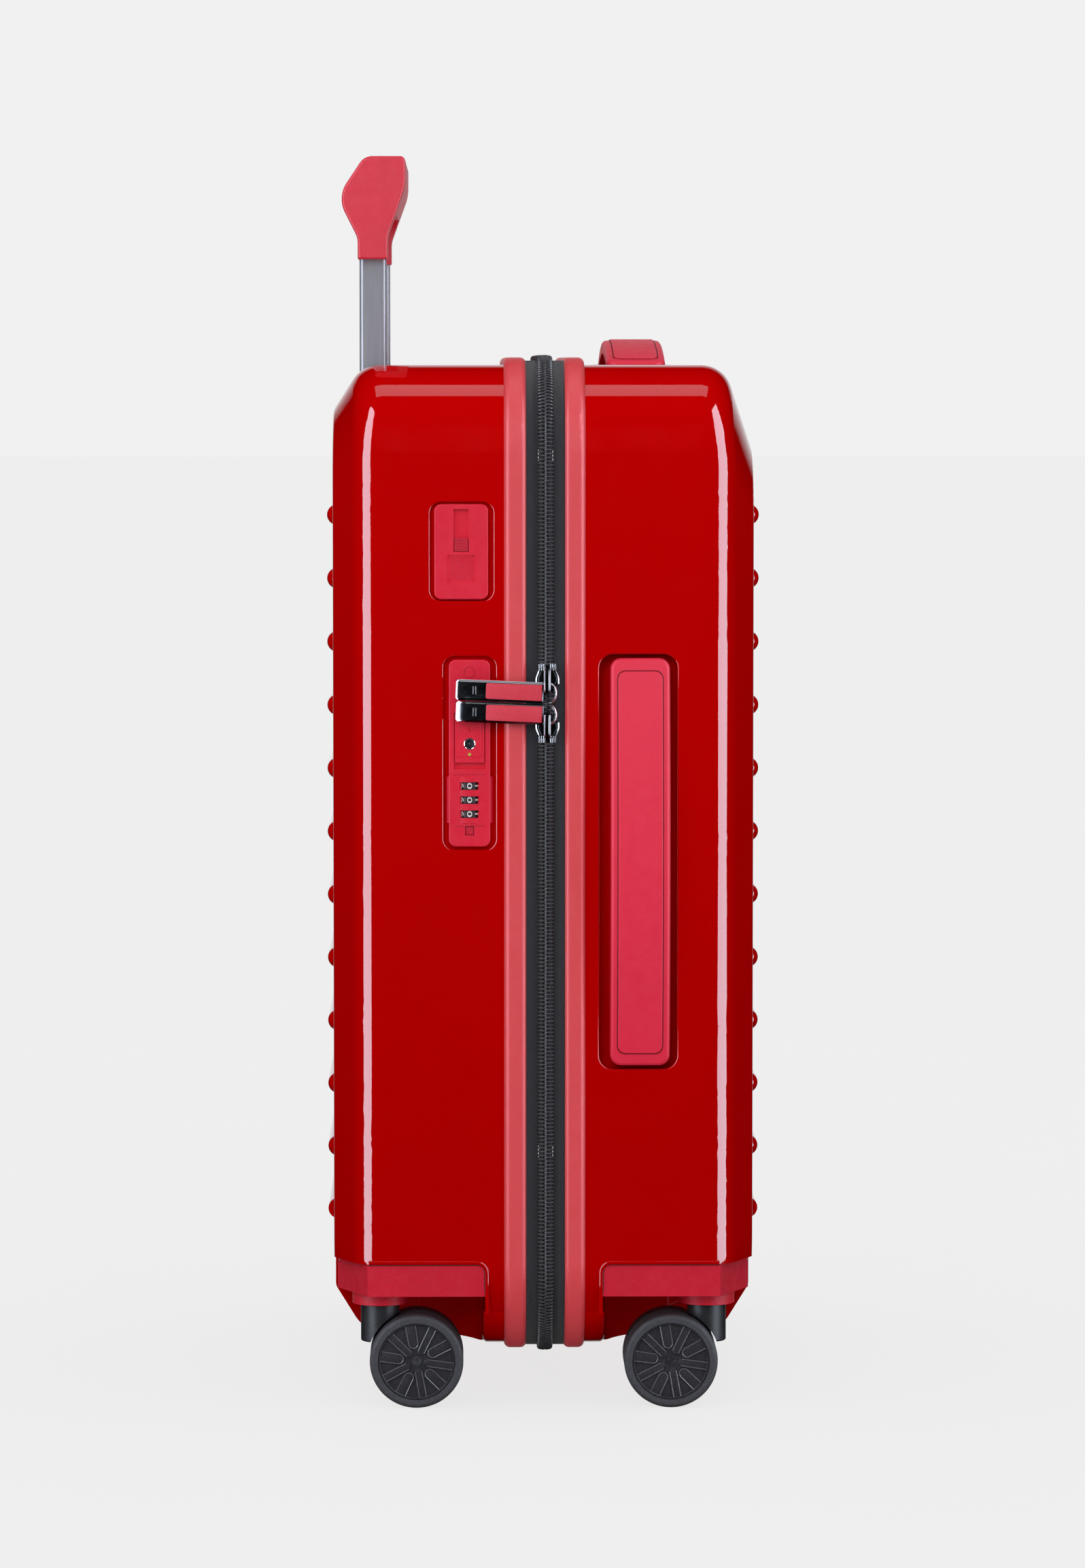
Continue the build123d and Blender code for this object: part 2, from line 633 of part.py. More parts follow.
with BuildPart() as reset_button:
    with BuildSketch(Plane.XZ.offset(-PLATE_FRONT - 0.4)):
        with Locations((LOCK_X, RESET_Z)):
            Rectangle(RESET_SIZE, RESET_SIZE)
    extrude(amount=-6)
reset_button.part.label = "reset_button"
export_step(reset_button.part, "parts/reset_button.step")


# ---- name tag plate ----
TAG_X = -52.5
TAG_SLOT = (9.6, 27, 562.4)
TAG_BUTTON = (8.4, 8.5, 553.5)

with BuildPart() as tag_plate:
    with BuildSketch(Plane.XZ.offset(-PLATE_BACK)):
        with Locations((TAG_X, TAG_RECESS[1] - 0.2)):
            RectangleRounded(34.2, 60.4, 4.6)
    extrude(amount=PLATE_BACK - PLATE_FRONT)
    fillet(tag_plate.edges().group_by(Axis.Y)[0], 0.8)
    with BuildSketch(Plane.XZ.offset(-PLATE_FRONT)):
        with Locations((TAG_X, TAG_SLOT[2])):
            Rectangle(TAG_SLOT[0], TAG_SLOT[1])
    extrude(amount=-3.2, mode=Mode.SUBTRACT)
    with BuildSketch(Plane.XZ.offset(-PLATE_FRONT)):
        with Locations((TAG_X + 0.1, 538)):
            Rectangle(17.6, 17.4)
    extrude(amount=-1, mode=Mode.SUBTRACT)
tag_plate.part.label = "tag_plate"
export_step(tag_plate.part, "parts/tag_plate.step")

with BuildPart() as tag_slider:
    with BuildSketch(Plane.XZ.offset(-PLATE_FRONT - 0.2)):
        with Locations((TAG_X, TAG_BUTTON[2])):
            Rectangle(TAG_BUTTON[0], TAG_BUTTON[1])
    extrude(amount=-2.7)
tag_slider.part.label = "tag_slider"
export_step(tag_slider.part, "parts/tag_slider.step")


# ---- carry handles ----
with BuildPart() as handle_guides:
    add(leg_blocks(LEG_SIZE[0] + 8, 16, -HANDLE_COVER[4] + 1, -RECESS_DEPTH - WALL))
    add(leg_blocks(LEG_SIZE[0] + 0.8, LEG_SIZE[1] + 0.8, -60, 0), mode=Mode.SUBTRACT)
handle_guides.part.label = "handle_guides"
export_step(handle_guides.part, "parts/handle_guides.step")


def bowed_line(height):
    """An arc over the handle's whole length, at this height in the middle and lower at its ends."""
    end = height - ARCH_DROP
    return ThreePointArc((-HANDLE_HALF, end), (0, height), (HANDLE_HALF, end))


def arch(plane, half, high, low, width):
    """A bar that arches out of the wall, between two bowed lines, over half its length each way."""
    with BuildPart() as bar:
        with BuildSketch(plane):
            with BuildLine():
                outer = bowed_line(high)
                inner = bowed_line(low)
                Line(outer @ 0, inner @ 0)
                Line(outer @ 1, inner @ 1)
            make_face()
            Rectangle(2 * half, 200, mode=Mode.INTERSECT)
        extrude(amount=width / 2, both=True)
    return bar.part


for name, plane in leg_planes().items():
    outward = Axis(plane.origin, plane.y_dir)
    with BuildPart() as pad:
        add(arch(plane, PAD_HALF, HANDLE_RISE, HANDLE_RISE - 4, PAD_WIDTH))
        fillet(pad.edges().filter_by(outward), 5)
        fillet(pad.faces().sort_by(outward)[-1].edges(), 0.6)
    with BuildPart() as carry_handle:
        add(arch(plane, HANDLE_HALF, HANDLE_RISE - PAD_RISE, HANDLE_RISE - HANDLE_THICK, HANDLE_WIDTH))
        fillet(carry_handle.edges().filter_by(outward), 7)
        fillet(carry_handle.faces().sort_by(outward)[-1].edges(), 2.6)
        add(pad.part)
        with BuildSketch(plane):
            spot = HANDLE_HALF - LEG_INSET
            with Locations((-spot, -LEG_DEPTH / 2), (spot, -LEG_DEPTH / 2)):
                Rectangle(LEG_SIZE[1], LEG_DEPTH)
        extrude(amount=LEG_SIZE[0] / 2, both=True)
    carry_handle.part.label = name
    export_step(carry_handle.part, "parts/" + name + ".step")


# ---- telescopic trolley ----
def tube_pair(stage, low, high):
    """A pair of rectangular tubes of one trolley stage."""
    width, depth = tube_sizes(stage)
    with BuildPart() as pair:
        with BuildSketch(Plane.XY.offset(low)):
            with Locations((-TUBE_X, -TUBE_Y), (-TUBE_X, TUBE_Y)):
                RectangleRounded(width, depth, TUBE_R + stage)
                inner = (width - 2 * TUBE_WALL, depth - 2 * TUBE_WALL)
                RectangleRounded(*inner, TUBE_R + stage - TUBE_WALL, mode=Mode.SUBTRACT)
        extrude(amount=high - low)
    return pair.part


OUTER_LOW = 60
OUTER_TOP = 648
MID_LOW = 112
MID_TOP = 656
INNER_LOW = 190
FOOT_X = -101.2
FOOT_WIDTH = 7
SOCKET_TOP = 757

with BuildPart() as trolley_frame:
    add(tube_pair(2, OUTER_LOW, OUTER_TOP))
    with Locations((FOOT_X, 0, (CASE_BOTTOM + WALL + OUTER_LOW) / 2)):
        Box(FOOT_WIDTH, 2 * TUBE_Y + 20, OUTER_LOW - CASE_BOTTOM - WALL)
trolley_frame.part.label = "trolley_frame"
export_step(trolley_frame.part, "parts/trolley_frame.step")

with BuildPart() as trolley_mid_tubes:
    add(tube_pair(1, MID_LOW, MID_TOP))
trolley_mid_tubes.part.label = "trolley_mid_tubes"
export_step(trolley_mid_tubes.part, "parts/trolley_mid_tubes.step")

with BuildPart() as trolley_inner_tubes:
    add(tube_pair(0, INNER_LOW, SOCKET_TOP))
trolley_inner_tubes.part.label = "trolley_inner_tubes"
export_step(trolley_inner_tubes.part, "parts/trolley_inner_tubes.step")

with BuildPart() as trolley_bezels:
    with BuildSketch(Plane.XY.offset(OUTER_TOP)):
        with Locations((-TUBE_X, -TUBE_Y), (-TUBE_X, TUBE_Y)):
            Rectangle(*BEZEL_SIZE)
    extrude(amount=40)
    add(back_block(0, []), mode=Mode.INTERSECT)
    with BuildSketch(Plane.XY.offset(OUTER_TOP)):
        with Locations((-TUBE_X, -TUBE_Y), (-TUBE_X, TUBE_Y)):
            width, depth = tube_sizes(1)
            RectangleRounded(width + 2 * TUBE_GAP, depth + 2 * TUBE_GAP, TUBE_R + 1)
    extrude(amount=40, mode=Mode.SUBTRACT)
trolley_bezels.part.label = "trolley_bezels"
export_step(trolley_bezels.part, "parts/trolley_bezels.step")

# The grip's end outline with its corner radii: from its flat top down the front to the
# tube sockets, and back up
GRIP_OUTLINE = [
    ((-88.4, GRIP_TOP), 3.4),
    ((-88.5, 782), 30),
    ((-99.9, 750.5), 18),
    ((-99.9, GRIP_BOTTOM), 0.6),
    ((-119.3, GRIP_BOTTOM), 0.6),
    ((-119.3, 749), 14),
    ((-132.6, 775.4), 19),
    ((-114.9, GRIP_TOP), 9.5),
]
HAND_HALF = 94
HAND_TOP = 765
BUTTON = (-100.5, 14, 60)
BUTTON_TRAVEL = 3

with BuildPart() as trolley_grip:
    with BuildSketch(Plane.XZ):
        with BuildLine():
            corners, radii = zip(*GRIP_OUTLINE)
            FilletPolyline(*corners, radius=list(radii), close=True)
        make_face()
    extrude(amount=GRIP_HALF, both=True)
    ends = trolley_grip.faces().filter_by(Axis.Y)
    fillet(ends.edges(), 1.6)
    with BuildSketch(Plane.YZ):
        with Locations((0, HAND_TOP - 40)):
            RectangleRounded(2 * HAND_HALF, 80, 12)
    extrude(amount=-200, mode=Mode.SUBTRACT)
    with BuildSketch(Plane.XY.offset(GRIP_BOTTOM)):
        with Locations((-TUBE_X, -TUBE_Y), (-TUBE_X, TUBE_Y)):
            RectangleRounded(*INNER_TUBE, TUBE_R)
    extrude(amount=SOCKET_TOP - GRIP_BOTTOM, mode=Mode.SUBTRACT)
    with Locations((BUTTON[0], 0, GRIP_TOP)):
        Box(BUTTON[1], BUTTON[2], 16, mode=Mode.SUBTRACT)
trolley_grip.part.label = "trolley_grip"
export_step(trolley_grip.part, "parts/trolley_grip.step")

with BuildPart() as trolley_button:
    with Locations((BUTTON[0], 0, GRIP_TOP - 2)):
        Box(BUTTON[1] - 0.7, BUTTON[2] - 0.7, 5)
    fillet(trolley_button.edges().group_by(Axis.Z)[-1], 1)
trolley_button.part.label = "trolley_button"
export_step(trolley_button.part, "parts/trolley_button.step")


# ---- wheel blocks ----
BLOCK_CHAMFER = (19.6, 42)
BLOCK_WALL = 4
STEM_LOW = 56.5
STEM_TOP = 88
COLLAR_TOP = BLOCK_BOTTOM


def block_plan(inset):
    """Plan outline that both wheel blocks of one half share, with chamfered outer corners."""
    face = FACE_X - 2.3 - inset
    side = FAR - 1 - inset
    with BuildSketch() as plan:
        with BuildLine():
            Polyline(
                (0, -side),
                (face - BLOCK_CHAMFER[0], -side),
                (face, -side + BLOCK_CHAMFER[1]),
                (face, side - BLOCK_CHAMFER[1]),
                (face - BLOCK_CHAMFER[0], side),
                (0, side),
                close=True,
            )
        make_face()
    return plan.sketch


def block_hollows():
    """The space inside the wheel blocks, left open at the top, round the stem and screw bosses."""
    with BuildPart() as hollows:
        add(wheel_pockets(-0.3 - BLOCK_WALL))
        with BuildSketch(Plane.XY):
            add(block_plan(BLOCK_WALL))
        extrude(amount=200, mode=Mode.INTERSECT)
        with Locations((0, 0, 0)):
            Box(1000, 1000, 2 * (BLOCK_BOTTOM + BLOCK_WALL), mode=Mode.SUBTRACT)
        with Locations((STEM_X, -STEM_Y, POCKET_TOP), (STEM_X, STEM_Y, POCKET_TOP)):
            Cylinder(3 * STEM_R, 80, mode=Mode.SUBTRACT)
        with Locations(*[(x, y, POCKET_TOP) for x, y in screw_points(1)]):
            Cylinder(2.5 * SCREW_R, 80, mode=Mode.SUBTRACT)
    return hollows.part


def wheel_blocks():
    """Both wheel blocks of one half, on +X: they fill the pockets' ceilings."""
    with BuildPart() as blocks:
        add(wheel_pockets(-0.3))
        with BuildSketch(Plane.XY):
            add(block_plan(0))
        extrude(amount=200, mode=Mode.INTERSECT)
        with Locations((0, 0, 0)):
            Box(1000, 1000, 2 * BLOCK_BOTTOM, mode=Mode.SUBTRACT)
        fillet(blocks.edges().filter_by(Axis.Z).group_by(Axis.X)[-1], 5)
        add(block_hollows(), mode=Mode.SUBTRACT)
        collar_middle = (COLLAR_BOTTOM + COLLAR_TOP + 4) / 2
        with Locations((STEM_X, -STEM_Y, collar_middle), (STEM_X, STEM_Y, collar_middle)):
            Cylinder(COLLAR_R, COLLAR_TOP + 4 - COLLAR_BOTTOM)
        with Locations((STEM_X, -STEM_Y, STEM_TOP / 2), (STEM_X, STEM_Y, STEM_TOP / 2)):
            Cylinder(STEM_R, STEM_TOP, mode=Mode.SUBTRACT)
        with Locations(*[(x, y, POCKET_TOP) for x, y in screw_points(1)]):
            Cylinder(SCREW_R, 18, mode=Mode.SUBTRACT)
    return blocks.part


def caster_stems():
    """The steel pins that the casters swivel on, on +X."""
    with BuildPart() as stems:
        middle = (STEM_LOW + STEM_TOP) / 2
        with Locations((STEM_X, -STEM_Y, middle), (STEM_X, STEM_Y, middle)):
            Cylinder(STEM_R, STEM_TOP - STEM_LOW)
    return stems.part


def block_screws():
    """Screws that hold the wheel blocks from inside the case, on +X."""
    with BuildPart() as screws:
        with Locations(*[(x, y, POCKET_TOP - 2) for x, y in screw_points(1)]):
            Cylinder(SCREW_R, 2 * (WALL + 2), align=(Align.CENTER, Align.CENTER, Align.CENTER))
        with Locations(*[(x, y, POCKET_TOP + WALL + 0.8) for x, y in screw_points(1)]):
            Cylinder(SCREW_HEAD_R, 1.6)
    return screws.part


with BuildPart() as wheel_blocks_front:
    add(wheel_blocks())
wheel_blocks_front.part.label = "wheel_blocks_front"
export_step(wheel_blocks_front.part, "parts/wheel_blocks_front.step")

with BuildPart() as wheel_blocks_back:
    add(mirror(wheel_blocks(), about=Plane.YZ))
wheel_blocks_back.part.label = "wheel_blocks_back"
export_step(wheel_blocks_back.part, "parts/wheel_blocks_back.step")

with BuildPart() as caster_stems_front:
    add(caster_stems())
caster_stems_front.part.label = "caster_stems_front"
export_step(caster_stems_front.part, "parts/caster_stems_front.step")

with BuildPart() as caster_stems_back:
    add(mirror(caster_stems(), about=Plane.YZ))
caster_stems_back.part.label = "caster_stems_back"
export_step(caster_stems_back.part, "parts/caster_stems_back.step")

with BuildPart() as block_screws_front:
    add(block_screws())
block_screws_front.part.label = "block_screws_front"
export_step(block_screws_front.part, "parts/block_screws_front.step")

with BuildPart() as block_screws_back:
    add(mirror(block_screws(), about=Plane.YZ))
block_screws_back.part.label = "block_screws_back"
export_step(block_screws_back.part, "parts/block_screws_back.step")


# ---- casters ----
CASTERS = {
    "back_near": (-STEM_X, -STEM_Y),
    "back_far": (-STEM_X, STEM_Y),
    "front_near": (STEM_X, -STEM_Y),
    "front_far": (STEM_X, STEM_Y),
}
WEB_HALF = WHEEL_GAP - 0.7
WHEEL_MIDDLE = WHEEL_GAP + WHEEL_WIDTH / 2
AXLE_HALF = WHEEL_GAP + WHEEL_WIDTH - 2.5

for name, (stem_x, stem_y) in CASTERS.items():
    wheel_x = stem_x - TRAIL if stem_x > 0 else stem_x + TRAIL
    middle = Plane.XZ.offset(-stem_y)

    with BuildPart() as fork:
        with Locations((stem_x, stem_y, (FORK_TOP + FORK_FOOT) / 2)):
            Cylinder(BOSS_R, FORK_TOP - FORK_FOOT)
        fillet(fork.edges(), 1.2)
        with Locations((wheel_x, stem_y, WHEEL_R)):
            Cylinder(WHEEL_R + ARCH_GAP, 4 * BOSS_R, rotation=(90, 0, 0), mode=Mode.SUBTRACT)
        with BuildSketch(middle):
            with Locations((wheel_x, WHEEL_R)):
                Circle(8)
            with Locations((stem_x, FORK_TOP - 10)):
                Circle(8)
            make_hull()
        extrude(amount=WEB_HALF, both=True)
        with Locations((stem_x, stem_y, (STEM_LOW - 0.5 + FORK_TOP) / 2)):
            Cylinder(STEM_R + RUNNING, FORK_TOP - STEM_LOW + 0.5, mode=Mode.SUBTRACT)
        with Locations((wheel_x, stem_y, WHEEL_R)):
            Cylinder(AXLE_R + RUNNING, 40, rotation=(90, 0, 0), mode=Mode.SUBTRACT)
    fork.part.label = "fork_" + name
    export_step(fork.part, "parts/fork_" + name + ".step")

    with BuildPart() as axle:
        with Locations((wheel_x, stem_y, WHEEL_R)):
            Cylinder(AXLE_R, 2 * AXLE_HALF, rotation=(90, 0, 0))
    axle.part.label = "axle_" + name
    export_step(axle.part, "parts/axle_" + name + ".step")

    both_wheels = [(wheel_x, stem_y + side * WHEEL_MIDDLE, WHEEL_R) for side in (-1, 1)]
    with BuildPart() as hubs:
        with Locations(*both_wheels):
            Cylinder(HUB_R, WHEEL_WIDTH - 2, rotation=(90, 0, 0))
            Cylinder(AXLE_R, WHEEL_WIDTH - 2, rotation=(90, 0, 0), mode=Mode.SUBTRACT)
    hubs.part.label = "hubs_" + name
    export_step(hubs.part, "parts/hubs_" + name + ".step")

    with BuildPart() as tyres:
        with Locations(*both_wheels):
            Cylinder(WHEEL_R, WHEEL_WIDTH, rotation=(90, 0, 0))
        fillet(tyres.edges().filter_by(GeomType.CIRCLE), 2.6)
        with Locations(*both_wheels):
            Cylinder(HUB_R, WHEEL_WIDTH, rotation=(90, 0, 0), mode=Mode.SUBTRACT)
    tyres.part.label = "tyres_" + name
    export_step(tyres.part, "parts/tyres_" + name + ".step")
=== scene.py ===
"""A hard shell suitcase on wheels: its looks, built round the CAD frame. Lengths are in millimetres."""

import math

import bmesh
import bpy
import numpy as np
from mathutils import Matrix, Vector, noise


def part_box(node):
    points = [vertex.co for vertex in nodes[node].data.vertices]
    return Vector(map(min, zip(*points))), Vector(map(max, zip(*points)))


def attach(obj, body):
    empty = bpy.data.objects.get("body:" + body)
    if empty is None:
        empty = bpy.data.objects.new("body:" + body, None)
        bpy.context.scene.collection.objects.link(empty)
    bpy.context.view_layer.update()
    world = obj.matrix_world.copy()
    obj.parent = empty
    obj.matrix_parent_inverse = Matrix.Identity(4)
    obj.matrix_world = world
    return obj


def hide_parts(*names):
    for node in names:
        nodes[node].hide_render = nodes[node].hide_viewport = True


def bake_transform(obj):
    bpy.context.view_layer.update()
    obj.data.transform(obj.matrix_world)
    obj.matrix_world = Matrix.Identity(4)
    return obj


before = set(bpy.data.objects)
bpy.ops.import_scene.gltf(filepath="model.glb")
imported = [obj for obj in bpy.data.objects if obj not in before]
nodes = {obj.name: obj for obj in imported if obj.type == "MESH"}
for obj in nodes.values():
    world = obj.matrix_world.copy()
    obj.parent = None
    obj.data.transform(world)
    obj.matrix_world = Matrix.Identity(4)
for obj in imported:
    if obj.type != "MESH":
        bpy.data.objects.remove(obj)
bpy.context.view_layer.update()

# ---- the sizes that the frame is built to ----
HALF_WIDTH = 230.0
FOOT_Z = 37.5
TOP_Z = 667.0
CORNER = 55.0
MIDDLE_Z = (FOOT_Z + TOP_Z) / 2
ZIP_X = 0.95
BACK_MOUTH = -10.9
FRONT_MOUTH = 12.7
TUCK = 3.6
ZIP_FOOT = 104.0
ZIP_TOP = 607.0


def span(node):
    """Lowest and highest corner of a CAD node, in millimetres."""
    low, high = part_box(node)
    return low * 1000, high * 1000


# ---- materials ----
class Finish:
    """A Principled material and short ways to add nodes to it."""

    def __init__(self, name, **sockets):
        self.material = bpy.data.materials.new(name)
        self.material.use_nodes = True
        self.tree = self.material.node_tree
        self.shader = self.tree.nodes["Principled BSDF"]
        for socket, value in sockets.items():
            self.shader.inputs[socket.replace("_", " ")].default_value = value

    def add(self, kind, inputs=(), **settings):
        made = self.tree.nodes.new(kind)
        for key, value in settings.items():
            setattr(made, key, value)
        for socket, value in dict(inputs).items():
            if isinstance(value, bpy.types.NodeSocket):
                self.tree.links.new(value, made.inputs[socket])
            else:
                made.inputs[socket].default_value = value
        return made

    def math(self, operation, a, b=0.0):
        return self.add("ShaderNodeMath", {0: a, 1: b}, operation=operation).outputs[0]

    def place(self, stretch=(1, 1, 1), uv=False):
        """Object coordinates, or UV ones, in metres and stretched along each axis."""
        source = self.add("ShaderNodeTexCoord").outputs["UV" if uv else "Object"]
        return self.add("ShaderNodeMapping", {"Vector": source, "Scale": stretch}).outputs[0]

    def noise(self, scale, detail=3.0, rough=0.5, stretch=(1, 1, 1)):
        where = self.place(stretch)
        inputs = {"Vector": where, "Scale": scale, "Detail": detail, "Roughness": rough}
        return self.add("ShaderNodeTexNoise", inputs).outputs["Fac"]

    def spread(self, value, low, high, start=0.0, stop=1.0):
        inputs = {"Value": value, "From Min": start, "From Max": stop, "To Min": low, "To Max": high}
        return self.add("ShaderNodeMapRange", inputs).outputs[0]

    def ramp(self, value, *stops):
        """Colours along value; each stop is (position, (r, g, b))."""
        made = self.add("ShaderNodeValToRGB", {0: value})
        elements = made.color_ramp.elements
        while len(elements) < len(stops):
            elements.new(0.5)
        for element, (position, colour) in zip(elements, stops):
            element.position = position
            element.color = (*colour, 1)
        return made.outputs[0]

    def colour(self, socket):
        self.tree.links.new(socket, self.shader.inputs["Base Color"])
        return self

    def rough(self, value, low, high, start=0.3, stop=0.7):
        self.tree.links.new(self.spread(value, low, high, start, stop), self.shader.inputs["Roughness"])
        return self

    def bump(self, *layers):
        """Each layer is (height, depth in metres)."""
        normal = None
        for height, depth in layers:
            inputs = {"Height": height, "Distance": depth, "Strength": 1.0}
            if normal is not None:
                inputs["Normal"] = normal
            normal = self.add("ShaderNodeBump", inputs).outputs[0]
        self.tree.links.new(normal, self.shader.inputs["Normal"])
        return self


def moulded(name, colour, rough, grain=0.00006, contrast=0.1, size=1500.0, **sockets):
    """Moulded plastic with a fine grain: light and dark specks, uneven gloss and a fine bump."""
    made = Finish(name, **sockets)
    specks = made.noise(size, 2.0, 0.7)
    drift = made.noise(22.0, 3.0)
    mixed = made.math("ADD", made.math("MULTIPLY", specks, 0.72), made.math("MULTIPLY", drift, 0.28))
    dark = tuple(c * (1 - contrast) for c in colour)
    light = tuple(min(1.0, c * (1 + contrast) + 0.02 * contrast) for c in colour)
    made.colour(made.ramp(mixed, (0.36, dark), (0.5, colour), (0.64, light)))
    made.rough(made.noise(180.0, 3.0), rough - 0.05, rough + 0.06)
    made.bump((made.noise(size * 0.8, 2.0, 0.6), grain))
    return made.material


def glossy_shell():
    made = Finish(
        "shell_gloss", IOR=1.5, Coat_Weight=0.35, Coat_Roughness=0.015, Coat_IOR=1.5, Specular_IOR_Level=0.5
    )
    drift = made.noise(7.0, 2.0)
    # Painted light: the red runs from darker at the bottom to lighter at the top, standing in for the light
    # from above and the weaker bounce from below; the slow drift mixed in is random tone.
    depth = made.add("ShaderNodeSeparateXYZ", {0: made.place()}).outputs[2]
    height = made.spread(depth, 0.0, 1.0, 0.05, 0.66)
    mixed = made.math("ADD", made.math("MULTIPLY", height, 0.8), made.math("MULTIPLY", drift, 0.2))
    made.colour(made.ramp(mixed, (0.1, (0.455, 0.0, 0.0003)), (0.9, (0.56, 0.0002, 0.0006))))
    made.rough(made.noise(60.0, 4.0), 0.022, 0.06)
    made.bump((made.noise(90.0, 1.0), 0.000005), (made.noise(14.0, 1.0), 0.00004))
    return made.material


def herringbone(name, dark, light, pitch=0.0009, band=0.0032):
    """Twill tape: threads that run up and down across the tape in bands, from UVs in metres."""
    made = Finish(name, Roughness=0.86, Sheen_Weight=0.25, Sheen_Roughness=0.4, Specular_IOR_Level=0.3)
    across, along = made.add("ShaderNodeSeparateXYZ", {0: made.place(uv=True)}).outputs[:2]
    zigzag = made.math("PINGPONG", across, band)
    slanted = made.math("ADD", along, made.math("MULTIPLY", zigzag, 1.5))
    thread = made.math("SINE", made.math("MULTIPLY", slanted, 2 * math.pi / pitch))
    fuzz = made.noise(2600.0, 2.0)
    mixed = made.math("ADD", made.spread(thread, 0.2, 0.7, -1, 1), made.math("MULTIPLY", fuzz, 0.3))
    made.colour(made.ramp(mixed, (0.25, dark), (0.85, light)))
    made.bump((thread, 0.00012), (fuzz, 0.00008))
    return made.material


def woven(name, dark, light, pitch=0.0011, crease=0.0006):
    """Plain weave with soft creases and worn, lighter patches."""
    made = Finish(name, Roughness=0.8, Sheen_Weight=0.35, Sheen_Roughness=0.45, Specular_IOR_Level=0.35)
    parts = made.add("ShaderNodeSeparateXYZ", {0: made.place()}).outputs
    waves = [made.math("SINE", made.math("MULTIPLY", part, 2 * math.pi / pitch)) for part in parts]
    weave = made.math("ADD", made.math("ADD", waves[0], waves[1]), waves[2])
    patches = made.noise(30.0, 4.0)
    mixed = made.math("ADD", made.spread(weave, 0.0, 0.45, -3, 3), made.math("MULTIPLY", patches, 0.55))
    made.colour(made.ramp(mixed, (0.3, dark), (0.75, light)))
    made.bump((made.noise(26.0, 3.0), crease), (weave, 0.00005))
    return made.material


def metal(name, colour, rough, streak=(1, 1, 1), contrast=0.12, grain=0.00001, scale=500.0, **sockets):
    """Metal or plating with fine streaks, set along the axis whose stretch is small."""
    made = Finish(name, **sockets)
    streaks = made.noise(scale, 4.0, 0.6, streak)
    dark, light = (tuple(min(1.0, c * (1 + k * contrast)) for c in colour) for k in (-1, 1))
    made.colour(made.ramp(streaks, (0.3, dark), (0.7, light)))
    made.rough(streaks, rough * 0.8, rough * 1.2)
    made.bump((streaks, grain))
    return made.material


def coil_plastic():
    made = Finish("coil_nylon", Specular_IOR_Level=0.6)
    made.colour(made.ramp(made.noise(900.0), (0.35, (0.03, 0.028, 0.032)), (0.65, (0.065, 0.06, 0.068))))
    made.rough(made.noise(500.0), 0.26, 0.42)
    made.bump((made.noise(1800.0), 0.00003))
    return made.material


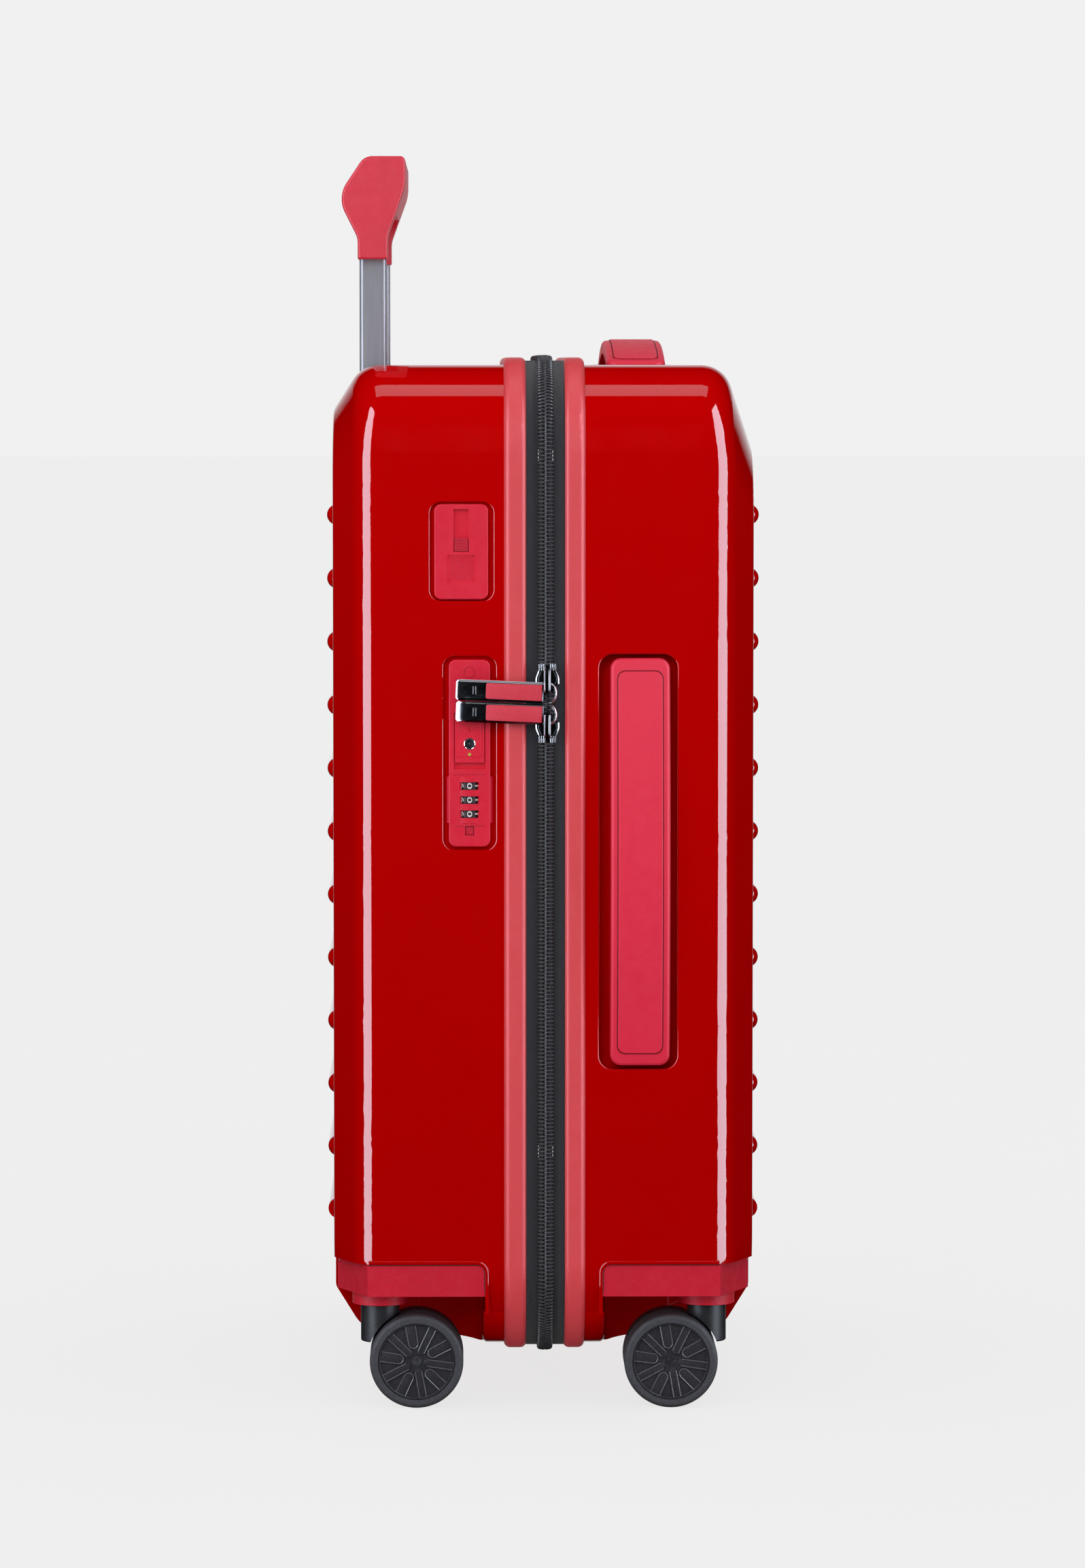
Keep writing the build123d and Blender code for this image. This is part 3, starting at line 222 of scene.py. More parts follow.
looks = {
    "shell": glossy_shell(),
    "rim": moulded("rim_satin", (0.74, 0.055, 0.07), 0.42, 0.00004, 0.05, Specular_IOR_Level=0.45),
    "matte": moulded(
        "moulded_red", (0.6, 0.002, 0.024), 0.46, 0.00009, 0.13, 1100.0, Specular_IOR_Level=0.25
    ),
    "handle": moulded("handle_red", (0.8, 0.016, 0.058), 0.46, 0.00005, 0.06, Specular_IOR_Level=0.28),
    # A dark red for the beads round the handles' pads: painted shade in their grooves.
    "groove": moulded("groove_shade_red", (0.2, 0.0, 0.008), 0.6, 0.00004, 0.1, Specular_IOR_Level=0.2),
    "lock": moulded("lock_red", (0.74, 0.004, 0.034), 0.42, 0.00007, 0.1, 1300.0, Specular_IOR_Level=0.28),
    "button": moulded("button_red", (0.55, 0.004, 0.03), 0.4, 0.00006, 0.1, 1300.0, Specular_IOR_Level=0.28),
    "grip": moulded("grip_red", (0.7, 0.014, 0.042), 0.45, 0.00007, 0.09, 1200.0, Specular_IOR_Level=0.4),
    "inlay": moulded("inlay_red", (0.66, 0.03, 0.06), 0.5, 0.00006, 0.1, 1500.0, Specular_IOR_Level=0.3),
    "black": moulded("black_plastic", (0.016, 0.016, 0.018), 0.5, 0.00006, 0.25),
    "caster": moulded("caster_black", (0.018, 0.018, 0.021), 0.42, 0.00005, 0.25, 900.0),
    "hub": moulded("hub_black", (0.034, 0.033, 0.04), 0.3, 0.00004, 0.2, 900.0),
    # A lighter, glossier grey for the raised edge lines on the spokes: the lighter colour is a painted
    # highlight.
    "spoke": moulded("spoke_edges_painted_highlight", (0.1, 0.1, 0.115), 0.24, 0.00003, 0.15, 900.0),
    "tyre": moulded("tyre_rubber", (0.034, 0.032, 0.038), 0.7, 0.00009, 0.25, 800.0),
    "white": moulded("marking_white", (0.8, 0.8, 0.8), 0.5, 0.00002, 0.04),
    "dot": moulded("marking_green", (0.42, 0.5, 0.02), 0.4, 0.00002, 0.06),
    "tape": herringbone("zip_tape_twill", (0.007, 0.006, 0.008), (0.032, 0.028, 0.034)),
    "hinge": herringbone("hinge_twill", (0.008, 0.008, 0.01), (0.045, 0.043, 0.05), 0.0016, 0.006),
    "coil": coil_plastic(),
    "lining": woven("lining_weave", (0.03, 0.03, 0.034), (0.085, 0.085, 0.095), 0.0016, 0.0012),
    "divider": woven("divider_weave", (0.024, 0.024, 0.028), (0.07, 0.07, 0.08), 0.0022, 0.0009),
    "webbing": herringbone("strap_webbing", (0.008, 0.008, 0.009), (0.04, 0.04, 0.045), 0.002, 0.005),
    "piping": woven("piping_weave", (0.010, 0.010, 0.012), (0.03, 0.03, 0.034), 0.0014, 0.0002),
    "thread": woven("stitch_thread", (0.10, 0.10, 0.11), (0.2, 0.2, 0.22), 0.0008, 0.0001),
    "gunmetal": metal("black_chrome", (0.2, 0.2, 0.215), 0.14, contrast=0.08, scale=300.0, Metallic=1.0),
    # Bright chrome: the key ring's own silver, and painted highlights drawn as bright lines on the
    # black-chrome sliders and tabs.
    "chrome": metal("bright_chrome_and_painted_highlight", (0.92, 0.92, 0.94), 0.2, contrast=0.05, scale=300.0, Metallic=1.0),
    "tube": metal("anodised_tube", (0.29, 0.3, 0.335), 0.36, (60, 60, 0.6), 0.1, 0.00002, 60.0, Metallic=0.3),
    # A dark red for the strips under the pocket lips: painted shadow in the gaps.
    "gap": moulded("gap_shadow", (0.06, 0.0005, 0.004), 0.6, 0.00002, 0.1),
    "steel": metal("steel", (0.5, 0.5, 0.5), 0.3, contrast=0.1, scale=400.0, Metallic=1.0),
}


# ---- shapes ----
class Shape:
    """Points and faces gathered from simple solids, made into one mesh at the end."""

    def __init__(self):
        self.points, self.faces, self.slots, self.uvs = [], [], [], []

    def add(self, solid, place=None, slot=0, uvs=None):
        points, faces = solid
        start = len(self.points)
        points = [Vector(p) for p in points]
        self.points += [place @ p for p in points] if place is not None else points
        self.faces += [[start + i for i in face] for face in faces]
        self.slots += [slot] * len(faces)
        self.uvs += list(uvs) if uvs is not None else [(0.0, 0.0)] * len(points)
        return self

    def make(self, name, looks_like, body=None, sharp=35.0, slot=None):
        """The mesh object; looks_like is one material's name or several."""
        mesh = bpy.data.meshes.new(name)
        mesh.from_pydata([p * 0.001 for p in self.points], [], self.faces)
        names = [looks_like] if isinstance(looks_like, str) else looks_like
        for material in names:
            mesh.materials.append(looks[material])
        mesh.polygons.foreach_set("material_index", self.slots)
        if any(u != (0.0, 0.0) for u in self.uvs):
            layer = mesh.uv_layers.new(name="metres")
            corners = np.zeros(len(mesh.loops), np.int32)
            mesh.loops.foreach_get("vertex_index", corners)
            layer.data.foreach_set("uv", (np.array(self.uvs, np.float32) * 0.001)[corners].ravel())
        work = bmesh.new()
        work.from_mesh(mesh)
        bmesh.ops.recalc_face_normals(work, faces=work.faces)
        work.to_mesh(mesh)
        work.free()
        mesh.shade_smooth()
        mesh.set_sharp_from_angle(angle=math.radians(sharp))
        piece = bpy.data.objects.new(name, mesh)
        bpy.context.scene.collection.objects.link(piece)
        if body:
            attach(piece, body)
        return piece


def skin(loops, closed=True, capped=True):
    """Faces over a row of equal loops of points. The loops are rings, or open lines if closed is False."""
    n = len(loops[0])
    points = [p for loop in loops for p in loop]
    last = n if closed else n - 1
    faces = [
        (i * n + j, i * n + (j + 1) % n, (i + 1) * n + (j + 1) % n, (i + 1) * n + j)
        for i in range(len(loops) - 1)
        for j in range(last)
    ]
    if capped:
        faces += [tuple(range(n))[::-1], tuple(range((len(loops) - 1) * n, len(loops) * n))]
    return points, faces


def inset(outline, distance):
    """A closed 2D outline, counter-clockwise, moved inwards."""
    moved = []
    for i, (x, y) in enumerate(outline):
        before = Vector((x - outline[i - 1][0], y - outline[i - 1][1])).normalized()
        after = outline[(i + 1) % len(outline)]
        after = Vector((after[0] - x, after[1] - y)).normalized()
        inward = Vector((-before.y - after.y, before.x + after.x)).normalized()
        reach = distance / max(0.4, inward.dot(Vector((-before.y, before.x))))
        moved.append((x + inward.x * reach, y + inward.y * reach))
    return moved


def prism(outline, low, high, bevel=0.3, both=False):
    """The outline raised from low to high, with a rounded top edge, and a bottom one if both."""
    turns = [(0.0, 1.0), (0.3, 0.29), (1.0, 0.0)]
    rings = [(inset(outline, bevel * a), high - bevel * b) for a, b in turns]
    if both:
        rings = [(inset(outline, bevel * a), low + bevel * b) for a, b in reversed(turns)] + rings
    else:
        rings = [(outline, low)] + rings
    return skin([[(x, y, z) for x, y in ring] for ring, z in rings])


def round_rect(width, height, radius, steps=5, centre=(0.0, 0.0)):
    """Counter-clockwise outline of a rounded rectangle."""
    outline = []
    for quarter, (sx, sy) in enumerate([(1, 1), (-1, 1), (-1, -1), (1, -1)]):
        middle = (centre[0] + sx * (width / 2 - radius), centre[1] + sy * (height / 2 - radius))
        for i in range(steps + 1):
            angle = math.pi / 2 * (quarter + i / steps)
            outline.append((middle[0] + radius * math.cos(angle), middle[1] + radius * math.sin(angle)))
    return outline


def disc(radius, count=24, centre=(0.0, 0.0)):
    angles = [2 * math.pi * i / count for i in range(count)]
    return [(centre[0] + radius * math.cos(a), centre[1] + radius * math.sin(a)) for a in angles]


def sweep(path, section, across=None, closed=False):
    """A closed section carried along a path. across is the direction that the section's x keeps."""
    path = [Vector(p) for p in path]
    loops = []
    for i, point in enumerate(path):
        before = path[i - 1] if i or closed else point
        after = path[(i + 1) % len(path)] if i + 1 < len(path) or closed else point
        along = (after - before).normalized()
        side = Vector(across) if across else along.orthogonal().normalized()
        if not across and loops:
            side = (previous - along * previous.dot(along)).normalized()
        previous = side
        up = side.cross(along).normalized()
        loops.append([point + side * a + up * b for a, b in section])
    if closed:
        return skin(loops + [loops[0]], capped=False)
    return skin(loops)


def tube(path, radius, sides=8, closed=False):
    return sweep(path, disc(radius, sides), closed=closed)


def facing(origin, across, up):
    """Places a shape drawn in x and y, rising along z, with its x along across and its y along up."""
    across, up = Vector(across), Vector(up)
    out = across.cross(up)
    return Matrix.Translation(origin) @ Matrix((across, up, out)).transposed().to_4x4()


def near(x, z, out=0.0):
    """A place on the near side wall, that faces -Y."""
    return facing((x, -HALF_WIDTH - out, z), (1, 0, 0), (0, 0, 1))


# ---- the loop round the case: (x, distance along, height out of the wall) becomes a place ----
TALL = TOP_Z - FOOT_Z - 2 * CORNER
WIDE = 2 * (HALF_WIDTH - CORNER)
MEASURED_AT = 3.6  # the distance along is true at this height
QUARTER = math.pi / 2 * (CORNER + MEASURED_AT)
LOOP = 2 * (TALL + WIDE) + 4 * QUARTER
FAR_START = TALL + WIDE + 2 * QUARTER  # where the far side's straight run starts, at the top


def wrap(flat):
    """Points (x, along, height) as points in the frame. Along starts low on the near side and runs up."""
    flat = np.asarray(flat, float).reshape(-1, 3)
    along = flat[:, 1] % LOOP
    left = along.copy()
    y, z, done = np.zeros(len(flat)), np.zeros(len(flat)), np.zeros(len(flat), bool)
    centres = [
        (-HALF_WIDTH + CORNER, FOOT_Z + CORNER),
        (-HALF_WIDTH + CORNER, TOP_Z - CORNER),
        (HALF_WIDTH - CORNER, TOP_Z - CORNER),
        (HALF_WIDTH - CORNER, FOOT_Z + CORNER),
    ]
    for leg, run in enumerate((TALL, WIDE, TALL, WIDE)):
        angle = math.pi - leg * math.pi / 2
        here = ~done & (left < run)
        reach = CORNER + flat[:, 2]
        y[here] = (centres[leg][0] + math.cos(angle) * reach + math.sin(angle) * left)[here]
        z[here] = (centres[leg][1] + math.sin(angle) * reach - math.cos(angle) * left)[here]
        done |= here
        left = np.where(done, left, left - run)
        corner = ~done & (left < QUARTER)
        turned = angle - left / QUARTER * math.pi / 2
        following = centres[(leg + 1) % 4]
        y[corner] = (following[0] + np.cos(turned) * reach)[corner]
        z[corner] = (following[1] + np.sin(turned) * reach)[corner]
        done |= corner
        left = np.where(done, left, left - QUARTER)
    return np.stack([flat[:, 0], y, z], 1)


ZIP_START = FAR_START + TALL - (ZIP_FOOT - FOOT_Z - CORNER) - LOOP
ZIP_END = FAR_START + (TOP_Z - CORNER - ZIP_TOP)


def band(start, end, section, step=4.0):
    """A closed section of (x, height) points, carried round the case between two distances."""
    count = max(2, round((end - start) / step))
    stops = np.linspace(start, end, count + 1)
    flat = [(x, s, h) for s in stops for x, h in section]
    faces = skin([[0] * len(section)] * len(stops))[1]
    across = np.cumsum([0] + [math.dist(section[i], section[i + 1]) for i in range(len(section) - 1)])
    return (wrap(flat), faces), [(a, s) for s in stops for a in across]


# ---- zip: tapes and coils ----
def tape(name, low, high, body, node):
    section = [(low, 1.5), (high, 1.5), (high, 2.7), (high - 0.3, 2.8), (low + 0.3, 2.8), (low, 2.7)]
    solid, uvs = band(ZIP_START, ZIP_END, section)
    piece = Shape().add(solid, uvs=uvs).make(name, "tape", body, slot="tape")
    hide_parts(node)
    return piece


PITCH = 2.42


def coil(name, way, body, node):
    """A row of coil loops on one side of the chain; way is -1 on the back half and 1 on the lid."""
    path = [
        (0.35, 2.6), (0.0, 4.2), (0.15, 5.4), (0.9, 5.75), (2.4, 5.5), (3.7, 5.3), (4.35, 4.5), (4.4, 3.0)
    ]
    radii = [
        (0.9, 0.9), (1.0, 1.0), (0.95, 0.8), (0.78, 0.7), (0.72, 0.7), (0.72, 0.7), (0.72, 0.7), (0.7, 0.7)
    ]
    sides = [(math.cos(a), math.sin(a)) for a in np.arange(7) * 2 * math.pi / 7]
    one = []
    for i, (u, h) in enumerate(path):
        before, after = path[max(i - 1, 0)], path[min(i + 1, len(path) - 1)]
        along = Vector((after[0] - before[0], after[1] - before[1])).normalized()
        wide, thick = radii[i]
        one.append([(u - along.y * b * thick, a * wide, h + along.x * b * thick) for a, b in sides])
    points, faces = skin(one)
    points = np.array([p for p in points])
    first = ZIP_START + PITCH * (0.25 if way < 0 else 0.75)
    starts = np.arange(first, ZIP_END - PITCH / 2, PITCH)
    flat = np.tile(points, (len(starts), 1))
    flat[:, 0] = ZIP_X + way * (flat[:, 0] - 0.05)
    flat[:, 1] += np.repeat(starts, len(points))
    row = Shape()
    row.points = [Vector(p) for p in wrap(flat)]
    row.faces = [[i + k * len(points) for i in face] for k in range(len(starts)) for face in faces]
    row.slots = [0] * len(row.faces)
    row.uvs = [(0.0, 0.0)] * len(row.points)
    inner, outer = sorted((ZIP_X + way * 0.4, ZIP_X + way * 4.4))
    core = [(inner, 0.6), (outer, 0.6), (outer, 3.4), (inner, 3.4)]
    row.add(band(ZIP_START, ZIP_END, core)[0], slot=1)
    cord_x = ZIP_X + way * 2.5
    cord = [(cord_x + 0.9 * math.cos(a), 4.1 + 0.8 * math.sin(a)) for a in np.arange(6) * math.pi / 3]
    row.add(band(ZIP_START, ZIP_END, cord)[0], slot=1)
    for end in (ZIP_START, ZIP_END - 5):
        stop = [(inner - 0.1, 0.6), (outer + 0.1, 0.6), (outer + 0.1, 6.2), (inner - 0.1, 6.2)]
        row.add(band(end, end + 5, stop)[0])
    piece = row.make(name, ["coil", "piping"], body, slot="zip_teeth")
    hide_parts(node)
    return piece


tape_back = tape("tape_back", BACK_MOUTH - TUCK, ZIP_X - 4.7, "root", "zip_tape_back")
tape_front = tape("tape_front", ZIP_X + 4.7, FRONT_MOUTH + TUCK, "lid", "zip_tape_front")
coil("coil_back", -1, "root", "zip_teeth_back")
coil("coil_front", 1, "lid", "zip_teeth_front")


# ---- fabric hinge: one woven strip from rim to rim ----
def fabric_hinge():
    low, high = span("hinge_tape_back")[0].z, span("hinge_tape_back")[1].z
    outer = [
        (
            BACK_MOUTH - TUCK, 232.1
        ), (BACK_MOUTH - 0.3, 232.3), (BACK_MOUTH + 2.2, 233.6), (BACK_MOUTH + 5.4, 235.8),
        (-2.2, 237.4), (ZIP_X, 237.9), (4.1, 237.4), (FRONT_MOUTH - 5.4, 235.8), (FRONT_MOUTH - 2.2, 233.6),
        (FRONT_MOUTH + 0.3, 232.3), (FRONT_MOUTH + TUCK, 232.1),
    ]
    inner = [(x, y - 1.1) for x, y in reversed(outer)]
    section = outer + inner
    across = np.cumsum([0] + [math.dist(section[i], section[i + 1]) for i in range(len(section) - 1)])
    stops = np.linspace(low, high, 124)
    ripple = [0.35 * noise.noise(Vector((0, 0, z / 14.0))) for z in stops]
    loops, uvs = [], []
    for z, push in zip(stops, ripple):
        free = [0.0 if x < BACK_MOUTH + 1 or x > FRONT_MOUTH - 1 else 1.0 for x, _ in section]
        loops.append([(x, y + push * f, z) for (x, y), f in zip(section, free)])
        uvs += [(a, z) for a in across]
    shape = Shape().add(skin(loops), uvs=uvs)
    for x, y in ((BACK_MOUTH + 1.0, 233.1), (FRONT_MOUTH - 1.0, 233.1)):
        for z in np.arange(low + 4, high - 4, 4.2):
            shape.add(tube([(x, y, z), (x, y + 0.3, z + 1.4), (x, y, z + 2.8)], 0.32, 5), slot=1)
    piece = shape.make("fabric_hinge", ["hinge", "thread"], slot="hinge_fabric")
    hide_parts("hinge_tape_back", "hinge_tape_front")
    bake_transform(piece)


fabric_hinge()


# ---- zip sliders and pull tabs ----
SLIDER_X = 2.05
SLIDER_OUT = 6.9  # the sliders' plates are 6.9 to 8.7 out of the wall
PIVOT_X = 5.4
WIRE_OUT = 10.9


def slider(name, z, way):
    """The body stands at height z, its crown up for way 1 and down for way -1."""
    place = near(SLIDER_X, z) @ Matrix.Diagonal((1, way, 1, 1))
    wing = [
        (0, -8.6), (2.8, -8.3), (4.7, -6.6), (6.2, -3.8), (7.2, -0.8), (7.35, 0.8), (6.7, 2.9), (5.6, 5.0),
        (5.3, 6.6)
    ]
    outline = wing + [(-x, y) for x, y in reversed(wing[1:])]
    shape = Shape()
    shape.add(prism(outline, SLIDER_OUT, 8.7, 0.55, True), place)
    shape.add(prism(inset(outline, 1.5), 8.6, 9.0, 0.3), place)
    for side in (-1, 1):
        shape.add(prism(round_rect(1.3, 11, 0.6, 3, (side * 5.9, 0.4)), 3.1, 7.4, 0.3), place)
        # The edge line and the ear ribs are bright chrome: painted highlights on the black-chrome body.
        edge = [
            (side * 7.0, -2.6, 8.2), (side * 7.05, 0.8, 8.4), (side * 6.3, 3.0, 8.4), (side * 5.3, 5.2, 8.2)
        ]
        shape.add(tube(edge, 0.5), place, 1)
        for x, wide in ((5.0, 1.0), (3.5, 1.0), (2.1, 0.9)):
            rib = round_rect(wide, 4.9, 0.4, 3, (side * x, 7.9))
            shape.add(prism(rib, SLIDER_OUT - 0.6, 8.9, 0.35, True), place, 1)
    shape.add(prism(round_rect(3.0, 4.0, 1.2, 4, (0, 7.2)), SLIDER_OUT, 8.8, 0.4), place)
    bail = [
        (6.6, 8.4), (6.7, 10.6), (6.2, 12.3), (5.0, 13.1), (2.0, 13.3), (-3.0, 13.3), (-6.2, 13.1),
        (-7.6, 12.3), (-8.3, 10.6), (-8.3, 8.2)
    ]
    strap = round_rect(4.4, 1.5, 0.7, 3)
    shape.add(sweep([(-0.2, y, out) for y, out in bail], strap, (1, 0, 0)), place)
    # Two bright chrome lines along the bail are painted highlights on the black-chrome strap.
    for side in (-1, 1):
        line = [(-0.2 + side * 1.25, y, out + 0.62) for y, out in bail[2:8]]
        shape.add(tube(line, 0.36, 6), place, 1)
    piece = shape.make("slider_" + name, ["gunmetal", "chrome"], "zip_slider_" + name, slot="gunmetal")
    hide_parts("zip_slider_" + name)


def pull_tab(name, z, tip):
    """Black-chrome frame with a red inlay, a bevelled tip and a ring at the slider."""
    place = near(PIVOT_X, z, WIRE_OUT) @ Matrix.Rotation(math.radians(-2.3), 4, "Z")
    end, foot, half = -61.4, -6.6, 6.5
    drop = tip * math.tan(math.radians(25))
    shape = Shape()
    outline = [
        (foot, -half), (foot, half), (end + 1.2, half), (end, half - 1.4), (end, 1.4 - half),
        (end + 1.2, -half)
    ]
    low = [(x, y, -1.25) for x, y in outline]
    waist = [(x, y, 0.35 if x > -20 else 1.25 - drop) for x, y in outline]
    top = [(foot, -half + 0.9), (foot, half - 0.9), (end + tip, half - 0.9), (end + tip, half - 1.6),
           (end + tip, 1.6 - half), (end + tip, 0.9 - half)]
    shape.add(skin([low, waist, [(x, y, 1.25) for x, y in top]]), place)
    inlay = [(-41.6, -5.0), (-6.9, -5.1), (-6.9, 5.1), (-41.6, 5.0), (-42.4, 4.2), (-42.4, -4.2)]
    shape.add(prism(inlay, 0.9, 1.5, 0.2), place, 2)
    # The ridge on one side is bright chrome, a painted highlight on the black-chrome frame; the ridge on the
    # other side stays black chrome.
    for side in (-1, 1):
        ridge = [(end + tip + 0.5, side * (half - 0.1), 0.3), (foot, side * (half - 0.1), 0.3)]
        wedge = [(-0.2, 0.9), (0.2, 0.9), (0.2, 0.1), (-0.95, -1.05), (-1.3, -1.05)]
        shape.add(sweep(ridge, [(side * a, b) for a, b in wedge], (0, 1, 0)), place, 1 if side > 0 else 0)
    arc = [math.radians(a) for a in range(90, -91, -15)]
    ring = [(-2.4 + 4.3 * math.cos(a), (half - 0.85) * math.sin(a), 0) for a in arc]
    ring = [(foot, half - 0.8, 0.1)] + ring + [(foot, 0.8 - half, 0.1)]
    shape.add(tube(ring, 0.85, 10), place, 1)
    shape.add(tube([(foot, half - 1.0, 0), (foot, -half + 1.0, 0)], 0.9, 8), place)
    for i in range(2):
        shape.add(prism(round_rect(0.6, 5.4, 0.25, 2, (-50.4 + 1.7 * i, 0)), 1.2, 1.45, 0.1), place, 3)
    piece = shape.make(
        "tab_" + name, ["gunmetal", "chrome", "inlay", "steel"], "pull_tab_" + name, slot="gunmetal"
    )
    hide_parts("pull_tab_" + name)


slider("upper", 468.2, 1)
slider("lower", 438.3, -1)
pull_tab("upper", 459.6, 1.7)
pull_tab("lower", 445.9, 5.2)


# ---- lock ----
LOCK_X = -47.3
KEY_Z = 427.0
DIALS = [400.2, 391.25, 382.3]
DIAL_CENTRE_Y = -221.4


def digit(text, height):
    """The outline faces of a digit, as a mesh a height tall and centred, drawn with the built-in font."""
    curve = bpy.data.curves.new("digit", "FONT")
    curve.body = text
    curve.resolution_u = 4
    curve.offset = 0.012
    holder = bpy.data.objects.new("digit", curve)
    bpy.context.scene.collection.objects.link(holder)
    mesh = bpy.data.meshes.new_from_object(holder.evaluated_get(bpy.context.evaluated_depsgraph_get()))
    points = np.array([v.co for v in mesh.vertices])
    faces = [tuple(p.vertices) for p in mesh.polygons]
    bpy.data.objects.remove(holder)
    bpy.data.meshes.remove(mesh)
    middle = (points.max(0) + points.min(0)) / 2
    return (points - middle) * height / np.ptp(points[:, 1]), faces


def dials():
    facet = math.pi / 5
    for number, z in enumerate(DIALS, 1):
        shape = Shape()
        rings = []
        for height, radius in ((-3.9, 7.9), (-3.3, 8.6), (3.3, 8.6), (3.9, 7.9)):
            turns = [(k + 0.5) * facet for k in range(10)]
            corners = [(radius * math.sin(turn), -radius * math.cos(turn)) for turn in turns]
            rings.append([(LOCK_X + x, DIAL_CENTRE_Y + y, z + height) for x, y in corners])
        shape.add(skin(rings))
        for k in range(10):
            angle = k * facet
            out = Vector((math.sin(angle), -math.cos(angle), 0))
            across = Vector((math.cos(angle), math.sin(angle), 0))
            centre = Vector((LOCK_X, DIAL_CENTRE_Y, z)) + out * (8.6 * math.cos(facet / 2) + 0.06)
            place = facing(centre, (0, 0, 1), -across)
            points, faces = digit(str(k), 3.5)
            points = points * (1.75, 0.92, 1)
            shape.add((points, faces), place, 1)
        piece = shape.make(
            f"dial_{number}", ["black", "white"], f"number_dial_{number}", 20, slot="dial_black"
        )
        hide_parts(f"number_dial_{number}")


def lock_details():
    """The marks and small parts on the lock and the tag plate."""
    front = 0.8  # the plate stands this far out of the wall
    release = Shape()
    for side in (-1, 1):
        arm = [(side * 4.2, 3.2), (0, 0.0), (0, -1.5), (side * 4.2, 1.7)]
        arm = arm if side < 0 else arm[::-1]
        release.add(prism(arm, 0, 0.35, 0.12), near(LOCK_X, 436.4, front + 0.5))
        release.add(
            tube([(side * 7.2, -11.3, 0), (side * 7.2, 12.3, 0)], 0.35, 6),
            near(LOCK_X, 430.8, front + 0.45)
        )
        release.add(
            prism(round_rect(1.2, 3.4, 0.4, 3, (side * 5.6, 0)), 0, 0.3, 0.1),
            near(LOCK_X, 427.5, front + 0.5)
        )
    release.make("release_marks", "lock", "lock_release", slot="lock_red")
    dot = Shape().add(prism(disc(1.0, 20), 0, 0.25, 0.1), near(LOCK_X, 420.3, front + 0.5))
    dot.make("release_dot", "dot", "lock_release", slot="lock_red")
    key = Shape()
    ring = [(3.55 * math.cos(a), 3.55 * math.sin(a), 0.15) for a in np.arange(32) * math.pi / 16]
    key.add(tube(ring, 0.32, 8, True), near(LOCK_X, KEY_Z, front))
    # The black notch marks, and the black disc and pin down the bore, are painted shade in the notches and
    # the keyway.
    for angle in (90, 210, 330):
        a = math.radians(angle)
        notch = round_rect(1.3, 1.1, 0.3, 2, (3.3 * math.cos(a), 3.3 * math.sin(a)))
        key.add(prism(notch, -0.3, 0.5, 0.15), near(LOCK_X, KEY_Z, front), 1)
    key.add(prism(disc(2.6, 24), -4.9, -2.6, 0.3), near(LOCK_X, KEY_Z, front), 1)
    key.add(prism(disc(0.9, 12), -2.7, -1.2, 0.3), near(LOCK_X, KEY_Z, front), 1)
    key.make("key_ring", ["chrome", "black"], "key_cylinder", slot="steel")
    marks = Shape()
    for z in (407.6, 374.9):
        marks.add(prism(round_rect(20, 0.7, 0.3, 3), -0.05, 0.12, 0.05), near(LOCK_X, z, front))
    marks.make("lock_grooves", "button", "root", slot="button_red")
    emblem = Shape()
    circle = [(3.4 * math.cos(a), 3.4 * math.sin(a), 0) for a in np.arange(24) * math.pi / 12]
    emblem.add(tube(circle, 0.35, 6, True), near(LOCK_X, 472.6, front))
    emblem.make("lock_ring", "button", "root", slot="button_red")
    reset = Shape()
    arc = [(1.3 * math.cos(a), 1.3 * math.sin(a) - 0.1, 0) for a in np.radians(np.arange(200, 341, 20))]
    reset.add(tube(arc, 0.28, 6), near(LOCK_X, 371.6, 0.4))
    for side in (-1, 1):
        reset.add(prism(disc(0.35, 8, (side * 1.0, 0.9)), 0, 0.2, 0.05), near(LOCK_X, 371.6, 0.4))
    reset.make("reset_mark", "lock", "reset_button", slot="lock_red")


def tag_details():
    low, high = span("tag_slider")
    middle, top = (low + high) / 2, -HALF_WIDTH - low.y
    shape = Shape()
    for i in range(4):
        z = middle.z - 2.6 + i * 1.75
        shape.add(tube([(-3.0, 0, 0), (3.0, 0, 0)], 0.34, 6), near(middle.x, z, top))
    shape.make("tag_ridges", "button", "tag_slider", slot="button_red")
    panel = Shape()
    for i in range(11):
        for j in range(11):
            spot = (-7.0 + 1.4 * i, -7.0 + 1.4 * j)
            panel.add(prism(disc(0.42, 6, spot), 0, 0.3, 0.12), near(-52.4, 538.0, -0.2))
    panel.make("tag_texture", "button", "root", slot="button_red")


dials()
lock_details()
tag_details()


